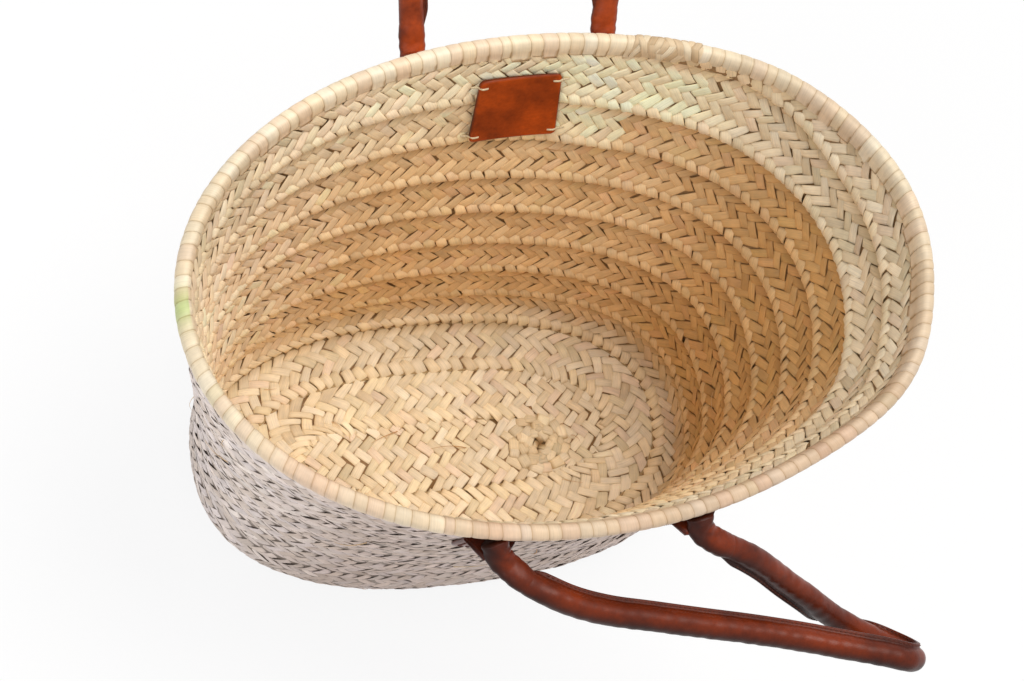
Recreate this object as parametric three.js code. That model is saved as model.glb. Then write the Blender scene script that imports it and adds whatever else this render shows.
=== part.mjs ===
// Straw shoulder basket: one long plait wound in a spiral, a bound rim and two rolled leather handles.
// Millimetres, +Z up, +X along the mouth, +Y to the back. The origin is under the middle of the base.
import * as THREE from 'three';

// Mouth, measured along the middle of the rim
const mouthLength = 500;
const mouthWidth = 342;
const mouthRoundness = 2.03;
const mouthShift = 9;
// Places where the soft mouth bulges: angle, share of its radius, spread in degrees
const mouthBulges = [[-36, 0.038, 16], [48, 0.021, 16]];
const rimHeight = 336;
const rimEndRise = 13;
const rimCrossDip = 4;
const rimBackRise = 4;

// Foot, where the wall starts above the rounded corner of the base
const footLength = 396;
const footWidth = 230;
const footRoundness = 2.4;
const footShift = -4;
const footHeight = 30;
const cornerInset = 20;
const wallFlare = 0.41;

// Plait
const plaitPitch = 41.4;
const plaitThickness = 6;
const plaitEdgeGap = 0.4;
const plaitEdgeChamfer = 2.2;
const firstSeamAboveCorner = 3.8;
const baseStripHalfLength = 73;
const spliceAngle = THREE.MathUtils.degToRad(65);
const turnEndGap = 0.0003;
const wallTurns = 7;
const tailTaperTurn = 0.14;
const turnSteps = 36;
const rimTurnSteps = 72;

// Lacing cord in the groove between turns
const lacingRadius = 1.05;
const lacingDepth = 0.7;

// Rim
const rimHalfThickness = 6.7;
const rimLegHalfThickness = 4.9;
const rimTopHalfThickness = 3.8;
const rimTop = 7.4;
const rimWidestAt = 0.5;
const rimBottom = -10.5;
const rimLipRise = 0.6;
const bindingThickness = 1.5;
const cavityHalfWidth = 3.9;
const cavityTop = 4.6;
const coreRadius = 3.4;
const coreLift = 0.6;
const coreGap = 0.3;
const coreSteps = 54;
const coreSides = 6;
const wrapCount = 136;
const wrapPuff = 0.4;
const wrapSlant = 2.5;
const spliceStart = THREE.MathUtils.degToRad(60);
const spliceEnd = THREE.MathUtils.degToRad(70);
const spliceGap = 0.5;
const spliceSteps = 6;

// Handles
const handleSpacing = 135;
const backHandleShift = 12;
const handleRadius = 8.7;
const leatherThickness = 1.5;
const ropeRadius = 6.6;
const finHeight = 4.6;
const finHalfThickness = 1.3;
const threadWidth = 1.2;
const threadThickness = 0.6;
const threadGap = 0.3;
const neckHalfWidth = 15.5;
const neckHalfThickness = 2.2;
const neckSlit = 0.5;
const neckEnd = 6;
const roundStart = 40;
const neckFoldEnd = 30;
const neckGap = 2.8;
const hingeOut = 15;
const hingeDrop = 15;
const handleSteps = 44;
const outerSides = 8;
const innerSides = 6;
const backHandleLean = THREE.MathUtils.degToRad(44);
const backHandleStraight = 140;
const backHandleCrown = 85;
const backHandleSpread = 16;
const frontFinTurnStart = 0.62;
const frontFinTurnEnd = 0.8;

// Route of the front handle as it lies flopped over to the right: along the hinge, outward, upward.
// It was drawn for this handle spacing.
const routeSpacing = 135;
const frontHandleRoute = [
  [-62, 4, -1], [-56, 10, -4], [-47, 18, -8], [-35, 25, -13], [-18, 33, -19], [5, 40, -26], [36, 46, -34],
  [71, 53, -42], [107, 60, -50], [142, 68, -57], [178, 78, -62], [203, 85, -65], [217, 89, -69],
  [227, 88, -79], [230, 84, -90], [228, 78, -99], [219, 70, -104], [200, 59.5, -98], [179, 49, -86],
  [159, 39, -68], [138, 29, -50], [119, 20, -32], [101, 13.5, -17], [87, 9, -8], [77, 5.5, -3],
];

// Tabs
const tabWidth = 32;
const tabLength = 44;
const tabThickness = 3;
const tabGap = 0.3;
const tabTopBelowRim = 16;
const beadRadius = 2.4;
const tabStitchInset = 4;
const tabStitchWidth = 1.2;
const tabStitchThickness = 0.8;

// Label
const labelSteps = 4;
const labelWidth = 61;
const labelHeight = 60;
const labelThickness = 2;
const labelGap = 0.9;
const labelTopBelowRim = 29.5;
const labelMiddle = 20.5;
const labelTilt = THREE.MathUtils.degToRad(1.5);
const stitchLength = 12;
const stitchWidth = 1.8;
const stitchThickness = 0.8;
const stitchInset = 6;

const material = {
  palm: new THREE.MeshStandardMaterial({ color: 0xdcc69b, roughness: 0.75, metalness: 0 }),
  cord: new THREE.MeshStandardMaterial({ color: 0xc2a878, roughness: 0.85, metalness: 0 }),
  rim: new THREE.MeshStandardMaterial({ color: 0xe8d6b0, roughness: 0.7, metalness: 0 }),
  leather: new THREE.MeshStandardMaterial({ color: 0x96502d, roughness: 0.5, metalness: 0 }),
  rope: new THREE.MeshStandardMaterial({ color: 0xcdbb94, roughness: 0.9, metalness: 0 }),
  thread: new THREE.MeshStandardMaterial({ color: 0x6d3a20, roughness: 0.7, metalness: 0 }),
  paleThread: new THREE.MeshStandardMaterial({ color: 0xe0c8a0, roughness: 0.7, metalness: 0 }),
};

const basket = new THREE.Group();

function addMesh(name, geometry, kind) {
  const mesh = new THREE.Mesh(geometry, kind);
  mesh.name = name;
  basket.add(mesh);
}

// Turns vertex and index lists into one closed geometry whose faces point out
function closedGeometry(vertices, triangles) {
  let volume = 0;
  for (const [a, b, c] of triangles) {
    volume += vertices[a].dot(vertices[b].clone().cross(vertices[c]));
  }
  const ordered = volume < 0 ? triangles.map(([a, b, c]) => [a, c, b]) : triangles;
  const geometry = new THREE.BufferGeometry();
  const numbers = vertices.flatMap((v) => v.toArray());
  geometry.setAttribute('position', new THREE.Float32BufferAttribute(numbers, 3));
  geometry.setIndex(ordered.flat());
  geometry.computeVertexNormals();
  return geometry;
}

// Triangles that fill an outline, wound the same way as the outline
function capTriangles(outer, inner) {
  const points = inner ? [...outer, ...inner] : outer;
  const triangles = THREE.ShapeUtils.triangulateShape([...outer], inner ? [[...inner]] : []);
  const [a, b, c] = triangles[0].map((k) => points[k]);
  const sameWay = THREE.ShapeUtils.area([a, b, c]) * THREE.ShapeUtils.area(outer) > 0;
  return sameWay ? triangles : triangles.map(([p, q, r]) => [r, q, p]);
}

// Joins equal sections, each a list of points, along a path.
// A section has one loop or an outer and an inner loop.
function loft(sections, outline, closedPath = false) {
  const size = sections[0].length;
  const triangles = [];
  const spans = closedPath ? sections.length : sections.length - 1;
  const loops = [[0, outline.outer.length, 1]];
  if (outline.inner) loops.push([outline.outer.length, outline.inner.length, -1]);
  for (let i = 0; i < spans; i += 1) {
    const here = i * size;
    const next = ((i + 1) % sections.length) * size;
    for (const [first, count, turn] of loops) {
      for (let k = 0; k < count; k += 1) {
        const a = first + k;
        const b = first + (k + 1) % count;
        const [p, q] = turn > 0 ? [a, b] : [b, a];
        triangles.push([here + p, here + q, next + q], [here + p, next + q, next + p]);
      }
    }
  }
  if (!closedPath) {
    const cap = capTriangles(outline.outer, outline.inner);
    const last = (sections.length - 1) * size;
    for (const [a, b, c] of cap) {
      triangles.push([c, b, a], [last + a, last + b, last + c]);
    }
  }
  return closedGeometry(sections.flat(), triangles);
}

function flat(pairs) {
  return pairs.map(([x, y]) => new THREE.Vector2(x, y));
}

// Point of a rounded oval at an angle
function oval(angle, length, width, roundness) {
  const c = Math.cos(angle);
  const s = Math.sin(angle);
  const reach = (Math.abs(c) ** roundness + Math.abs(s) ** roundness) ** (-1 / roundness);
  return [0.5 * length * c * reach, 0.5 * width * s * reach];
}

const baseMiddle = plaitThickness / 2;

function mouthBulge(angle) {
  let bulge = 1;
  for (const [at, share, spread] of mouthBulges) {
    const away = THREE.MathUtils.euclideanModulo(THREE.MathUtils.radToDeg(angle) - at + 180, 360) - 180;
    bulge += share * Math.exp(-((away / spread) ** 2));
  }
  return bulge;
}

function mouthPoint(angle) {
  const bulge = mouthBulge(angle);
  const [x, y] = oval(angle, mouthLength * bulge, mouthWidth * bulge, mouthRoundness);
  const z = rimHeight + rimEndRise * Math.cos(angle) + rimCrossDip * Math.cos(2 * angle)
    + rimBackRise * Math.sin(angle);
  return new THREE.Vector3(x + mouthShift, y, z);
}

// Middle surface of the plait along one line from the flat base to the rim, with its running length
const cornerSteps = 8;
const wallSteps = 18;
const lineCache = new Map();

function wallLine(angle) {
  if (lineCache.has(angle)) return lineCache.get(angle);
  const [fx, fy] = oval(angle, footLength, footWidth, footRoundness);
  const [ex, ey] = oval(angle, footLength - 2 * cornerInset, footWidth - 2 * cornerInset, footRoundness);
  const foot = new THREE.Vector3(fx + footShift, fy, baseMiddle + footHeight);
  const edge = new THREE.Vector3(ex + footShift, ey, baseMiddle);
  const elbow = new THREE.Vector3(foot.x, foot.y, baseMiddle);
  const points = new THREE.QuadraticBezierCurve3(edge, elbow, foot).getPoints(cornerSteps);
  const mouth = mouthPoint(angle);
  for (let i = 1; i <= wallSteps; i += 1) {
    const w = i / wallSteps;
    const out = 3 * (1 - wallFlare) * w * w * (1 - w) + w ** 3;
    points.push(new THREE.Vector3(
      foot.x + (mouth.x - foot.x) * out,
      foot.y + (mouth.y - foot.y) * out,
      foot.z + (mouth.z - foot.z) * w,
    ));
  }
  const lengths = [0];
  for (let i = 1; i < points.length; i += 1) {
    lengths.push(lengths[i - 1] + points[i].distanceTo(points[i - 1]));
  }
  const line = { points, lengths, edge, total: lengths[lengths.length - 1] };
  lineCache.set(angle, line);
  return line;
}

// Point of the middle surface: run is the length along the wall, negative on the flat base
function surfacePoint(angle, run) {
  const { points, lengths, edge } = wallLine(angle);
  if (run < 0) {
    const centreX = THREE.MathUtils.clamp(edge.x, -baseStripHalfLength, baseStripHalfLength);
    const inward = new THREE.Vector3(centreX, 0, baseMiddle).sub(edge);
    return edge.clone().addScaledVector(inward, Math.min(-run / inward.length(), 1));
  }
  let i = 1;
  while (i < lengths.length - 1 && lengths[i] < run) i += 1;
  const share = (run - lengths[i - 1]) / (lengths[i] - lengths[i - 1]);
  return points[i - 1].clone().lerp(points[i], share);
}

// Frame of the middle surface: along the rim, up the wall and outward
function surfaceFrame(angle, run) {
  const stepAngle = 0.01;
  const stepRun = 1.5;
  const point = surfacePoint(angle, run);
  const along = surfacePoint(angle + stepAngle, run).sub(surfacePoint(angle - stepAngle, run)).normalize();
  const up = surfacePoint(angle, run + stepRun).sub(surfacePoint(angle, run - stepRun)).normalize();
  const out = along.clone().cross(up).normalize();
  return { point, along, up, out };
}

function offset(angle, run, outward) {
  const { point, out } = surfaceFrame(angle, run);
  return point.addScaledVector(out, outward);
}

// Length along the wall of a seam, counted in turns from the corner; the last one tapers into the rim
function seamRun(seam, share) {
  const run = firstSeamAboveCorner + plaitPitch * (seam + share);
  if (seam !== wallTurns) return run;
  const lift = THREE.MathUtils.smoothstep(share, 1 - tailTaperTurn, 1);
  const angle = spliceAngle + 2 * Math.PI * share;
  return run + lift * (plaitTopRun(angle) - tailEndWidth - run);
}

const tailEndWidth = 6;

function plaitTopRun(angle) {
  return wallLine(angle).total + coreLift - coreRadius - coreGap;
}

// Section of one turn between its two seams, with chamfered inner edges for the lacing cord
const half = plaitThickness / 2;
const chamferStart = -half + plaitEdgeChamfer;

function turnSection(angle, low, high) {
  const bottom = low + plaitEdgeGap / 2;
  const top = high - plaitEdgeGap / 2;
  return [
    offset(angle, bottom, half),
    offset(angle, top, half),
    offset(angle, top, chamferStart),
    offset(angle, top - plaitEdgeChamfer, -half),
    offset(angle, bottom + plaitEdgeChamfer, -half),
    offset(angle, bottom, chamferStart),
  ];
}

const turnOutline = flat([
  [0, half], [9, half], [9, chamferStart], [7, -half], [2, -half], [0, chamferStart],
]);

function addTurn(name, seam) {
  const sections = [];
  const steps = seam === wallTurns ? rimTurnSteps : turnSteps;
  for (let i = 0; i <= steps; i += 1) {
    const share = THREE.MathUtils.lerp(turnEndGap, 1 - turnEndGap, i / steps);
    const angle = spliceAngle + 2 * Math.PI * share;
    const low = seamRun(seam, share);
    const high = seam === wallTurns ? plaitTopRun(angle) : seamRun(seam + 1, share);
    sections.push(turnSection(angle, low, high));
  }
  addMesh(name, loft(sections, { outer: turnOutline }), material.palm);
}

const firstSeam = -2;

// Middle of the base: the start of the plait, up to the first seam
function addBaseCentre() {
  const rings = [[], [], []];
  for (let i = 0; i <= turnSteps; i += 1) {
    const share = THREE.MathUtils.lerp(turnEndGap, 1 - turnEndGap, i / turnSteps);
    const angle = spliceAngle + 2 * Math.PI * share;
    const edge = seamRun(firstSeam, share) - plaitEdgeGap / 2;
    rings[0].push(offset(angle, edge, half));
    rings[1].push(offset(angle, edge, chamferStart));
    rings[2].push(offset(angle, edge - plaitEdgeChamfer, -half));
  }
  const count = rings[0].length;
  const triangles = [];
  for (let level = 0; level < 2; level += 1) {
    for (let k = 0; k < count; k += 1) {
      const a = level * count + k;
      const b = level * count + (k + 1) % count;
      triangles.push([a, b, b + count], [a, b + count, a + count]);
    }
  }
  const cap = capTriangles(rings[0].map((v) => new THREE.Vector2(v.x, v.y)));
  for (const [a, b, c] of cap) {
    triangles.push([c, b, a], [a + 2 * count, b + 2 * count, c + 2 * count]);
  }
  addMesh('base_plait_centre', closedGeometry(rings.flat(), triangles), material.palm);
}

// One lacing cord follows every seam from the middle of the base to the rim
function addLacingCord() {
  const sections = [];
  for (let seam = firstSeam; seam <= wallTurns; seam += 1) {
    const steps = seam === wallTurns ? Math.floor(turnSteps * (1 - tailTaperTurn)) : turnSteps;
    for (let i = seam === firstSeam ? 1 : 0; i < steps; i += 1) {
      const share = THREE.MathUtils.lerp(turnEndGap, 1 - turnEndGap, i / turnSteps);
      const angle = spliceAngle + 2 * Math.PI * share;
      const run = seamRun(seam, share);
      const depth = -half + lacingDepth;
      sections.push([
        offset(angle, run, depth + lacingRadius),
        offset(angle, run + lacingRadius, depth - lacingRadius / 2),
        offset(angle, run - lacingRadius, depth - lacingRadius / 2),
      ]);
    }
  }
  const low = -lacingRadius / 2;
  const outer = flat([[0, lacingRadius], [lacingRadius, low], [-lacingRadius, low]]);
  addMesh('lacing_cord', loft(sections, { outer }), material.cord);
}

// Rim frame at an angle, and the angle at a length along the rim
function rimFrame(angle) {
  return surfaceFrame(angle, wallLine(angle).total);
}

const rimTable = [];
const rimTableSteps = 720;
for (let i = 0; i <= rimTableSteps; i += 1) {
  const angle = spliceEnd + (2 * Math.PI * i) / rimTableSteps;
  const last = rimTable[i - 1];
  const point = mouthPoint(angle);
  rimTable.push({ angle, point, length: last ? last.length + point.distanceTo(last.point) : 0 });
}

function rimAngle(length) {
  let i = 1;
  while (i < rimTableSteps && rimTable[i].length < length) i += 1;
  const a = rimTable[i - 1];
  const b = rimTable[i];
  return THREE.MathUtils.lerp(a.angle, b.angle, (length - a.length) / (b.length - a.length));
}

function rimPoint(length, out, up) {
  const frame = rimFrame(rimAngle(length));
  return frame.point.addScaledVector(frame.out, out).addScaledVector(frame.up, up);
}

function rimLengthAt(angle) {
  return rimTable[Math.round(((angle - spliceEnd) / (2 * Math.PI)) * rimTableSteps)].length;
}

function bindingOutline(puff) {
  const outer = [
    [rimLegHalfThickness + puff / 2, rimBottom], [rimHalfThickness + puff, rimWidestAt],
    [rimTopHalfThickness, rimTop + puff], [-rimTopHalfThickness, rimTop + puff],
    [-rimHalfThickness - puff, rimWidestAt], [-rimLegHalfThickness - puff / 2, rimBottom],
  ];
  const legInside = rimLegHalfThickness - bindingThickness;
  const inner = [
    [-legInside, rimBottom + rimLipRise], [-cavityHalfWidth, cavityTop],
    [cavityHalfWidth, cavityTop], [legInside, rimBottom + rimLipRise],
  ];
  return [...outer, ...inner];
}

// Palm leaf wrapped round the core and the top edge of the plait, one puffed rib for each wrap
function addBinding() {
  const start = spliceGap;
  const end = rimLengthAt(spliceStart + 2 * Math.PI) - spliceGap;
  const sections = [];
  const rings = 2 * wrapCount;
  for (let i = 0; i <= rings; i += 1) {
    const puff = i % 2 === 0 ? -wrapPuff : wrapPuff;
    const endFade = Math.min(i, rings - i, 4) / 4;
    const along = THREE.MathUtils.lerp(start, end, i / rings);
    sections.push(bindingOutline(puff).map(([out, up]) => (
      rimPoint(along + (wrapSlant * endFade * out) / rimHalfThickness, out, up)
    )));
  }
  addMesh('rim_binding', loft(sections, { outer: flat(bindingOutline(0)) }), material.rim);
}

// Unbound stretch at the splice, where the plait's end is folded over the core
function addSplice() {
  const start = rimLengthAt(spliceStart + 2 * Math.PI) + spliceGap;
  const end = rimTable[rimTableSteps].length - spliceGap;
  const sections = [];
  for (let i = 0; i <= spliceSteps; i += 1) {
    const along = THREE.MathUtils.lerp(start, end, i / spliceSteps);
    sections.push(bindingOutline(i % 2 === 0 ? 0 : wrapPuff).map(([out, up]) => rimPoint(along, out, up)));
  }
  addMesh('rim_splice', loft(sections, { outer: flat(bindingOutline(0)) }), material.palm);
}

function circleOutline(sides, radius) {
  const points = [];
  for (let k = 0; k < sides; k += 1) {
    const turn = (2 * Math.PI * (k + 0.5)) / sides;
    points.push([radius * Math.cos(turn), radius * Math.sin(turn)]);
  }
  return points;
}

function addRimCore() {
  const outline = circleOutline(coreSides, coreRadius);
  const total = rimTable[rimTableSteps].length;
  const sections = [];
  for (let i = 0; i < coreSteps; i += 1) {
    const along = (total * i) / coreSteps;
    sections.push(outline.map(([out, up]) => rimPoint(along, out, up + coreLift)));
  }
  addMesh('rim_core', loft(sections, { outer: flat(outline) }, true), material.cord);
}

// Angle on the rim where it passes a given x at the back or front
function rimAngleAtX(x, side) {
  let low = 0;
  let high = Math.PI;
  for (let i = 0; i < 40; i += 1) {
    const middle = (low + high) / 2;
    if (mouthPoint(side * middle).x > x) low = middle;
    else high = middle;
  }
  return side * low;
}

// Fold line of one handle: a point above each tab, just outside the wall and under the rim
function foldPoint(x, side) {
  const frame = rimFrame(rimAngleAtX(x, side));
  return frame.point.addScaledVector(frame.out, hingeOut).addScaledVector(frame.up, -hingeDrop);
}

function foldLine(side) {
  const shift = side > 0 ? backHandleShift : 0;
  const first = foldPoint(shift - handleSpacing / 2, side);
  const second = foldPoint(shift + handleSpacing / 2, side);
  const middle = first.clone().add(second).multiplyScalar(0.5);
  const axis = second.clone().sub(first).normalize();
  const left = middle.clone().addScaledVector(axis, -handleSpacing / 2);
  const right = middle.clone().addScaledVector(axis, handleSpacing / 2);
  const up = new THREE.Vector3(0, 0, 1).addScaledVector(axis, -axis.z).normalize();
  const outward = axis.clone().cross(up).multiplyScalar(-side);
  return { left, right, middle, axis, up, outward, shift };
}

// Route of a handle from its left fold point to its right one
function backRoute(fold) {
  const rise = fold.up.clone().multiplyScalar(Math.cos(backHandleLean))
    .addScaledVector(fold.outward, Math.sin(backHandleLean));
  const place = (x, height) =>
    fold.middle.clone().addScaledVector(fold.axis, x).addScaledVector(rise, height);
  const halfSpacing = handleSpacing / 2;
  const halfCrown = halfSpacing + backHandleSpread / 2;
  const points = [];
  for (let i = 0; i < 4; i += 1) {
    points.push(place(-halfSpacing, Math.max(neckGap, (backHandleStraight * i) / 4)));
  }
  for (let i = 0; i <= 8; i += 1) {
    const turn = Math.PI * (1 - i / 8);
    const height = backHandleStraight + backHandleCrown * Math.sin(turn);
    points.push(place(backHandleSpread / 2 + halfCrown * Math.cos(turn), height));
  }
  for (let i = 3; i >= 0; i -= 1) {
    const x = halfSpacing + (backHandleSpread * i) / 4;
    points.push(place(x, Math.max(neckGap, (backHandleStraight * i) / 4)));
  }
  return points;
}

function frontRoute(fold) {
  const stretch = handleSpacing / routeSpacing;
  const place = ([x, out, up]) => fold.middle.clone().addScaledVector(fold.axis, x * stretch)
    .addScaledVector(fold.outward, out).addScaledVector(fold.up, up);
  const points = frontHandleRoute.map(place);
  // Each end stops short of the bead that it folds round
  const stop = (foldEnd, next) => {
    const way = next.clone().sub(foldEnd).normalize();
    const across = Math.sqrt(1 - way.dot(fold.axis) ** 2);
    return foldEnd.clone().addScaledVector(way, neckGap / across);
  };
  return [stop(fold.left, points[0]), ...points, stop(fold.right, points[points.length - 1])];
}

const origin = new THREE.Vector2();

// Frames along a route whose width lies along the fold line at both ends,
// with a half turn on the way if asked
function routeFrames(points, fold, steps, halfTurn) {
  const curve = new THREE.CatmullRomCurve3(points, false, 'centripetal');
  curve.arcLengthDivisions = 800;
  const length = curve.getLength();
  const frames = [];
  let width = fold.axis.clone();
  for (let i = 0; i <= steps; i += 1) {
    const point = curve.getPointAt(i / steps);
    const tangent = curve.getTangentAt(i / steps).normalize();
    width = width.clone().addScaledVector(tangent, -width.dot(tangent)).normalize();
    frames.push({ point, tangent, width, along: (length * i) / steps });
  }
  const last = frames[steps];
  const goal = fold.axis.clone().addScaledVector(last.tangent, -fold.axis.dot(last.tangent)).normalize();
  const twist = Math.atan2(goal.clone().cross(last.width).dot(last.tangent) * -1, goal.dot(last.width));
  const leastTwist = Math.abs(twist) > Math.PI / 2 ? twist - Math.sign(twist) * Math.PI : twist;
  return frames.map((frame, i) => {
    const extra = halfTurn ? Math.PI * THREE.MathUtils.smoothstep(i / steps, ...halfTurn) : 0;
    const turned = frame.width.clone().applyAxisAngle(frame.tangent, (leastTwist * i) / steps + extra);
    // The flat necks stay parallel to the fold line, also where the route leaves it at a slant
    const sign = Math.sign(turned.dot(fold.axis));
    const fromEnd = Math.min(frame.along, length - frame.along);
    const free = THREE.MathUtils.smoothstep(fromEnd, 0, neckFoldEnd);
    const mixed = fold.axis.clone().multiplyScalar(sign * (1 - free));
    mixed.addScaledVector(turned, free).normalize();
    const depth = frame.tangent.clone().cross(mixed).normalize();
    return { ...frame, width: mixed, depth, length };
  });
}

// How far the flat neck has become a round tube, from 0 to 1, at a frame
function roundness(frame) {
  const fromEnd = Math.min(frame.along, frame.length - frame.along);
  return THREE.MathUtils.smoothstep(fromEnd, neckEnd, roundStart);
}

// Rolled leather cover: round tube with a sewn fin, flattened towards both ends
function coverOutline(round) {
  const halfWidth = THREE.MathUtils.lerp(neckHalfWidth, handleRadius, round);
  const halfDepth = THREE.MathUtils.lerp(neckHalfThickness, handleRadius, round);
  const outer = circleOutline(outerSides, 1).map(([x, y]) => [halfWidth * x, halfDepth * y]);
  const finRoot = halfWidth * Math.cos(Math.PI / outerSides);
  const finTip = finRoot + finHeight * round;
  outer.push([finTip, -finHalfThickness], [finTip, finHalfThickness]);
  const slitWidth = THREE.MathUtils.lerp(neckHalfWidth, handleRadius, round) - leatherThickness;
  const slitDepth = THREE.MathUtils.lerp(neckSlit, handleRadius - leatherThickness, round);
  const inner = circleOutline(innerSides, 1).map(([x, y]) => [slitWidth * x, slitDepth * y]);
  return { outer, inner };
}

function place(frame, [width, depth]) {
  return frame.point.clone().addScaledVector(frame.width, width).addScaledVector(frame.depth, depth);
}

function addHandle(name, points, fold, halfTurn) {
  const frames = routeFrames(points, fold, handleSteps, halfTurn);
  const cover = frames.map((frame) => {
    const { outer, inner } = coverOutline(roundness(frame));
    return [...outer, ...inner].map((point) => place(frame, point));
  });
  const outlines = coverOutline(1);
  const coverShape = loft(cover, { outer: flat(outlines.outer), inner: flat(outlines.inner) });
  addMesh(`${name}_leather`, coverShape, material.leather);

  const round = frames.filter((frame) => roundness(frame) > 0.98);
  const ropeOutline = circleOutline(innerSides, ropeRadius);
  const rope = round.map((frame) => ropeOutline.map((point) => place(frame, point)));
  addMesh(`${name}_rope`, loft(rope, { outer: flat(ropeOutline) }), material.rope);

  const root = new THREE.Vector2(handleRadius, 0).rotateAround(origin, Math.PI / outerSides);
  const tip = new THREE.Vector2(root.x + finHeight, finHalfThickness);
  const slope = tip.clone().sub(root).normalize();
  const lift = new THREE.Vector2(-slope.y, slope.x);
  const threadOutline = [[0, 0], [0, 1], [1, 1], [1, 0]].map(([thick, wide]) => (
    root.clone().addScaledVector(slope, finHeight / 2 + threadWidth * (wide - 0.5))
      .addScaledVector(lift, threadGap + threadThickness * thick).toArray()
  ));
  const thread = round.map((frame) => threadOutline.map((point) => place(frame, point)));
  addMesh(`${name}_seam_thread`, loft(thread, { outer: flat(threadOutline) }), material.thread);
}

// Leather tab on the outer wall, with a rolled bead on the fold line at its top
const tabSteps = 4;
const beadTurns = [0, Math.PI / 4, Math.PI / 2, (3 * Math.PI) / 4, Math.PI];

function tabAngle(x, side, run) {
  let low = 0;
  let high = Math.PI;
  for (let i = 0; i < 40; i += 1) {
    const middle = (low + high) / 2;
    if (surfacePoint(side * middle, run).x > x) low = middle;
    else high = middle;
  }
  return side * low;
}

function wallSpot(x, side, belowRim, out) {
  const rimSpot = rimAngleAtX(x, side);
  const run = wallLine(rimSpot).total - belowRim;
  return offset(tabAngle(x, side, run), run, out);
}

function addTab(name, fromMiddle, side, fold) {
  const wallSide = half + tabGap;
  const face = wallSide + tabThickness;
  const x = fold.shift + fromMiddle;
  const middleOfBead = fold.middle.clone().addScaledVector(fold.axis, fromMiddle);
  const sections = [];
  for (let i = 0; i <= tabSteps; i += 1) {
    const across = tabWidth * (i / tabSteps - 0.5);
    const share = (2 * neckHalfWidth) / tabWidth;
    const bead = middleOfBead.clone().addScaledVector(fold.axis, across * share);
    const at = (below, out) => wallSpot(x + across, side, below, out);
    const roll = (turn) => bead.clone().addScaledVector(fold.up, beadRadius * Math.cos(turn))
      .addScaledVector(fold.outward, beadRadius * Math.sin(turn));
    sections.push([
      at(tabTopBelowRim + tabLength, wallSide),
      at(tabTopBelowRim, wallSide),
      ...beadTurns.map(roll),
      at(tabTopBelowRim + 3 * tabGap + tabThickness, face),
      at(tabTopBelowRim + tabLength, face),
    ]);
  }
  const outline = flat([[0, 0], [0, 9], [5, 10], [6, 9.5], [6.5, 8.5], [6, 7.5], [5, 7], [1, 7], [1, 0]]);
  addMesh(name, loft(sections, { outer: outline }), material.leather);

  // Line of sewing round the lower part of the tab, as a U of thread lying on its face
  const route = [];
  const edge = tabWidth / 2 - tabStitchInset;
  const top = tabTopBelowRim + tabThickness + tabStitchInset;
  const bottom = tabTopBelowRim + tabLength - tabStitchInset;
  for (const below of [top, (top + bottom) / 2, bottom]) route.push([-edge, below, [1, 0]]);
  route.push([0, bottom, [0, -1]]);
  for (const below of [bottom, (top + bottom) / 2, top]) route.push([edge, below, [-1, 0]]);
  route[2][2] = [1, -1];
  route[4][2] = [-1, -1];
  const stitches = route.map(([across, below, [inX, inDown]]) => {
    const inner = [across + inX * tabStitchWidth, below + inDown * tabStitchWidth];
    return [
      wallSpot(x + across, side, below, face + tabGap),
      wallSpot(x + across, side, below, face + tabGap + tabStitchThickness),
      wallSpot(x + inner[0], side, inner[1], face + tabGap + tabStitchThickness),
      wallSpot(x + inner[0], side, inner[1], face + tabGap),
    ];
  });
  const stitchShape = loft(stitches, { outer: flat([[0, 0], [0, 1], [1, 1], [1, 0]]) });
  addMesh(`${name}_thread`, stitchShape, material.thread);
}

// Place on the inner wall from the middle of the label: across, up and into the basket
function labelSpot(across, rise, inward) {
  const x = labelMiddle + across * Math.cos(labelTilt) - rise * Math.sin(labelTilt);
  const lift = across * Math.sin(labelTilt) + rise * Math.cos(labelTilt);
  return wallSpot(x, 1, labelTopBelowRim + labelHeight / 2 - lift, -half - labelGap - inward);
}


function addLabel() {
  const sections = [];
  const rows = [-0.5, -0.25, 0, 0.25, 0.5];
  for (let i = 0; i <= labelSteps; i += 1) {
    const across = labelWidth * (i / labelSteps - 0.5);
    sections.push([
      ...rows.map((row) => labelSpot(across, labelHeight * row, 0)),
      ...rows.map((row) => labelSpot(across, -labelHeight * row, labelThickness)),
    ]);
  }
  const outline = flat([...rows.map((row) => [0, 9 * row]), ...rows.map((row) => [1, -9 * row])]);
  addMesh('label', loft(sections, { outer: outline }), material.leather);
}

// Staple of thread over one edge of the label
function addLabelStitch(name, acrossSide, riseSide) {
  const edge = (acrossSide * labelWidth) / 2;
  const rise = riseSide * (labelHeight / 2 - stitchInset);
  const above = labelThickness + labelGap;
  const clear = labelGap + stitchThickness;
  const outside = stitchLength / 2;
  const route = [[-outside, above], [clear, above], [clear, 0], [outside, 0]];
  const thick = [[0, 1], [1, 1], [1, 1], [0, 1]];
  const sections = route.map(([along, inward], i) => {
    const across = edge + acrossSide * (along + thick[i][0] * stitchThickness * (i === 0 ? 0 : 1));
    const low = edge + acrossSide * along;
    const ends = [-stitchWidth / 2, stitchWidth / 2];
    return [
      labelSpot(low, rise + ends[0], inward), labelSpot(low, rise + ends[1], inward),
      labelSpot(across, rise + ends[1], inward + stitchThickness),
      labelSpot(across, rise + ends[0], inward + stitchThickness),
    ];
  });
  addMesh(name, loft(sections, { outer: flat([[0, 0], [1, 0], [1, 1], [0, 1]]) }), material.paleThread);
}

addBaseCentre();
addTurn('base_plait_turn', firstSeam);
addTurn('corner_plait_turn', firstSeam + 1);
for (let turn = 0; turn < wallTurns; turn += 1) addTurn(`wall_plait_turn_${turn + 1}`, turn);
addTurn('rim_plait_turn', wallTurns);
addLacingCord();
addRimCore();
addBinding();
addSplice();

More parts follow.
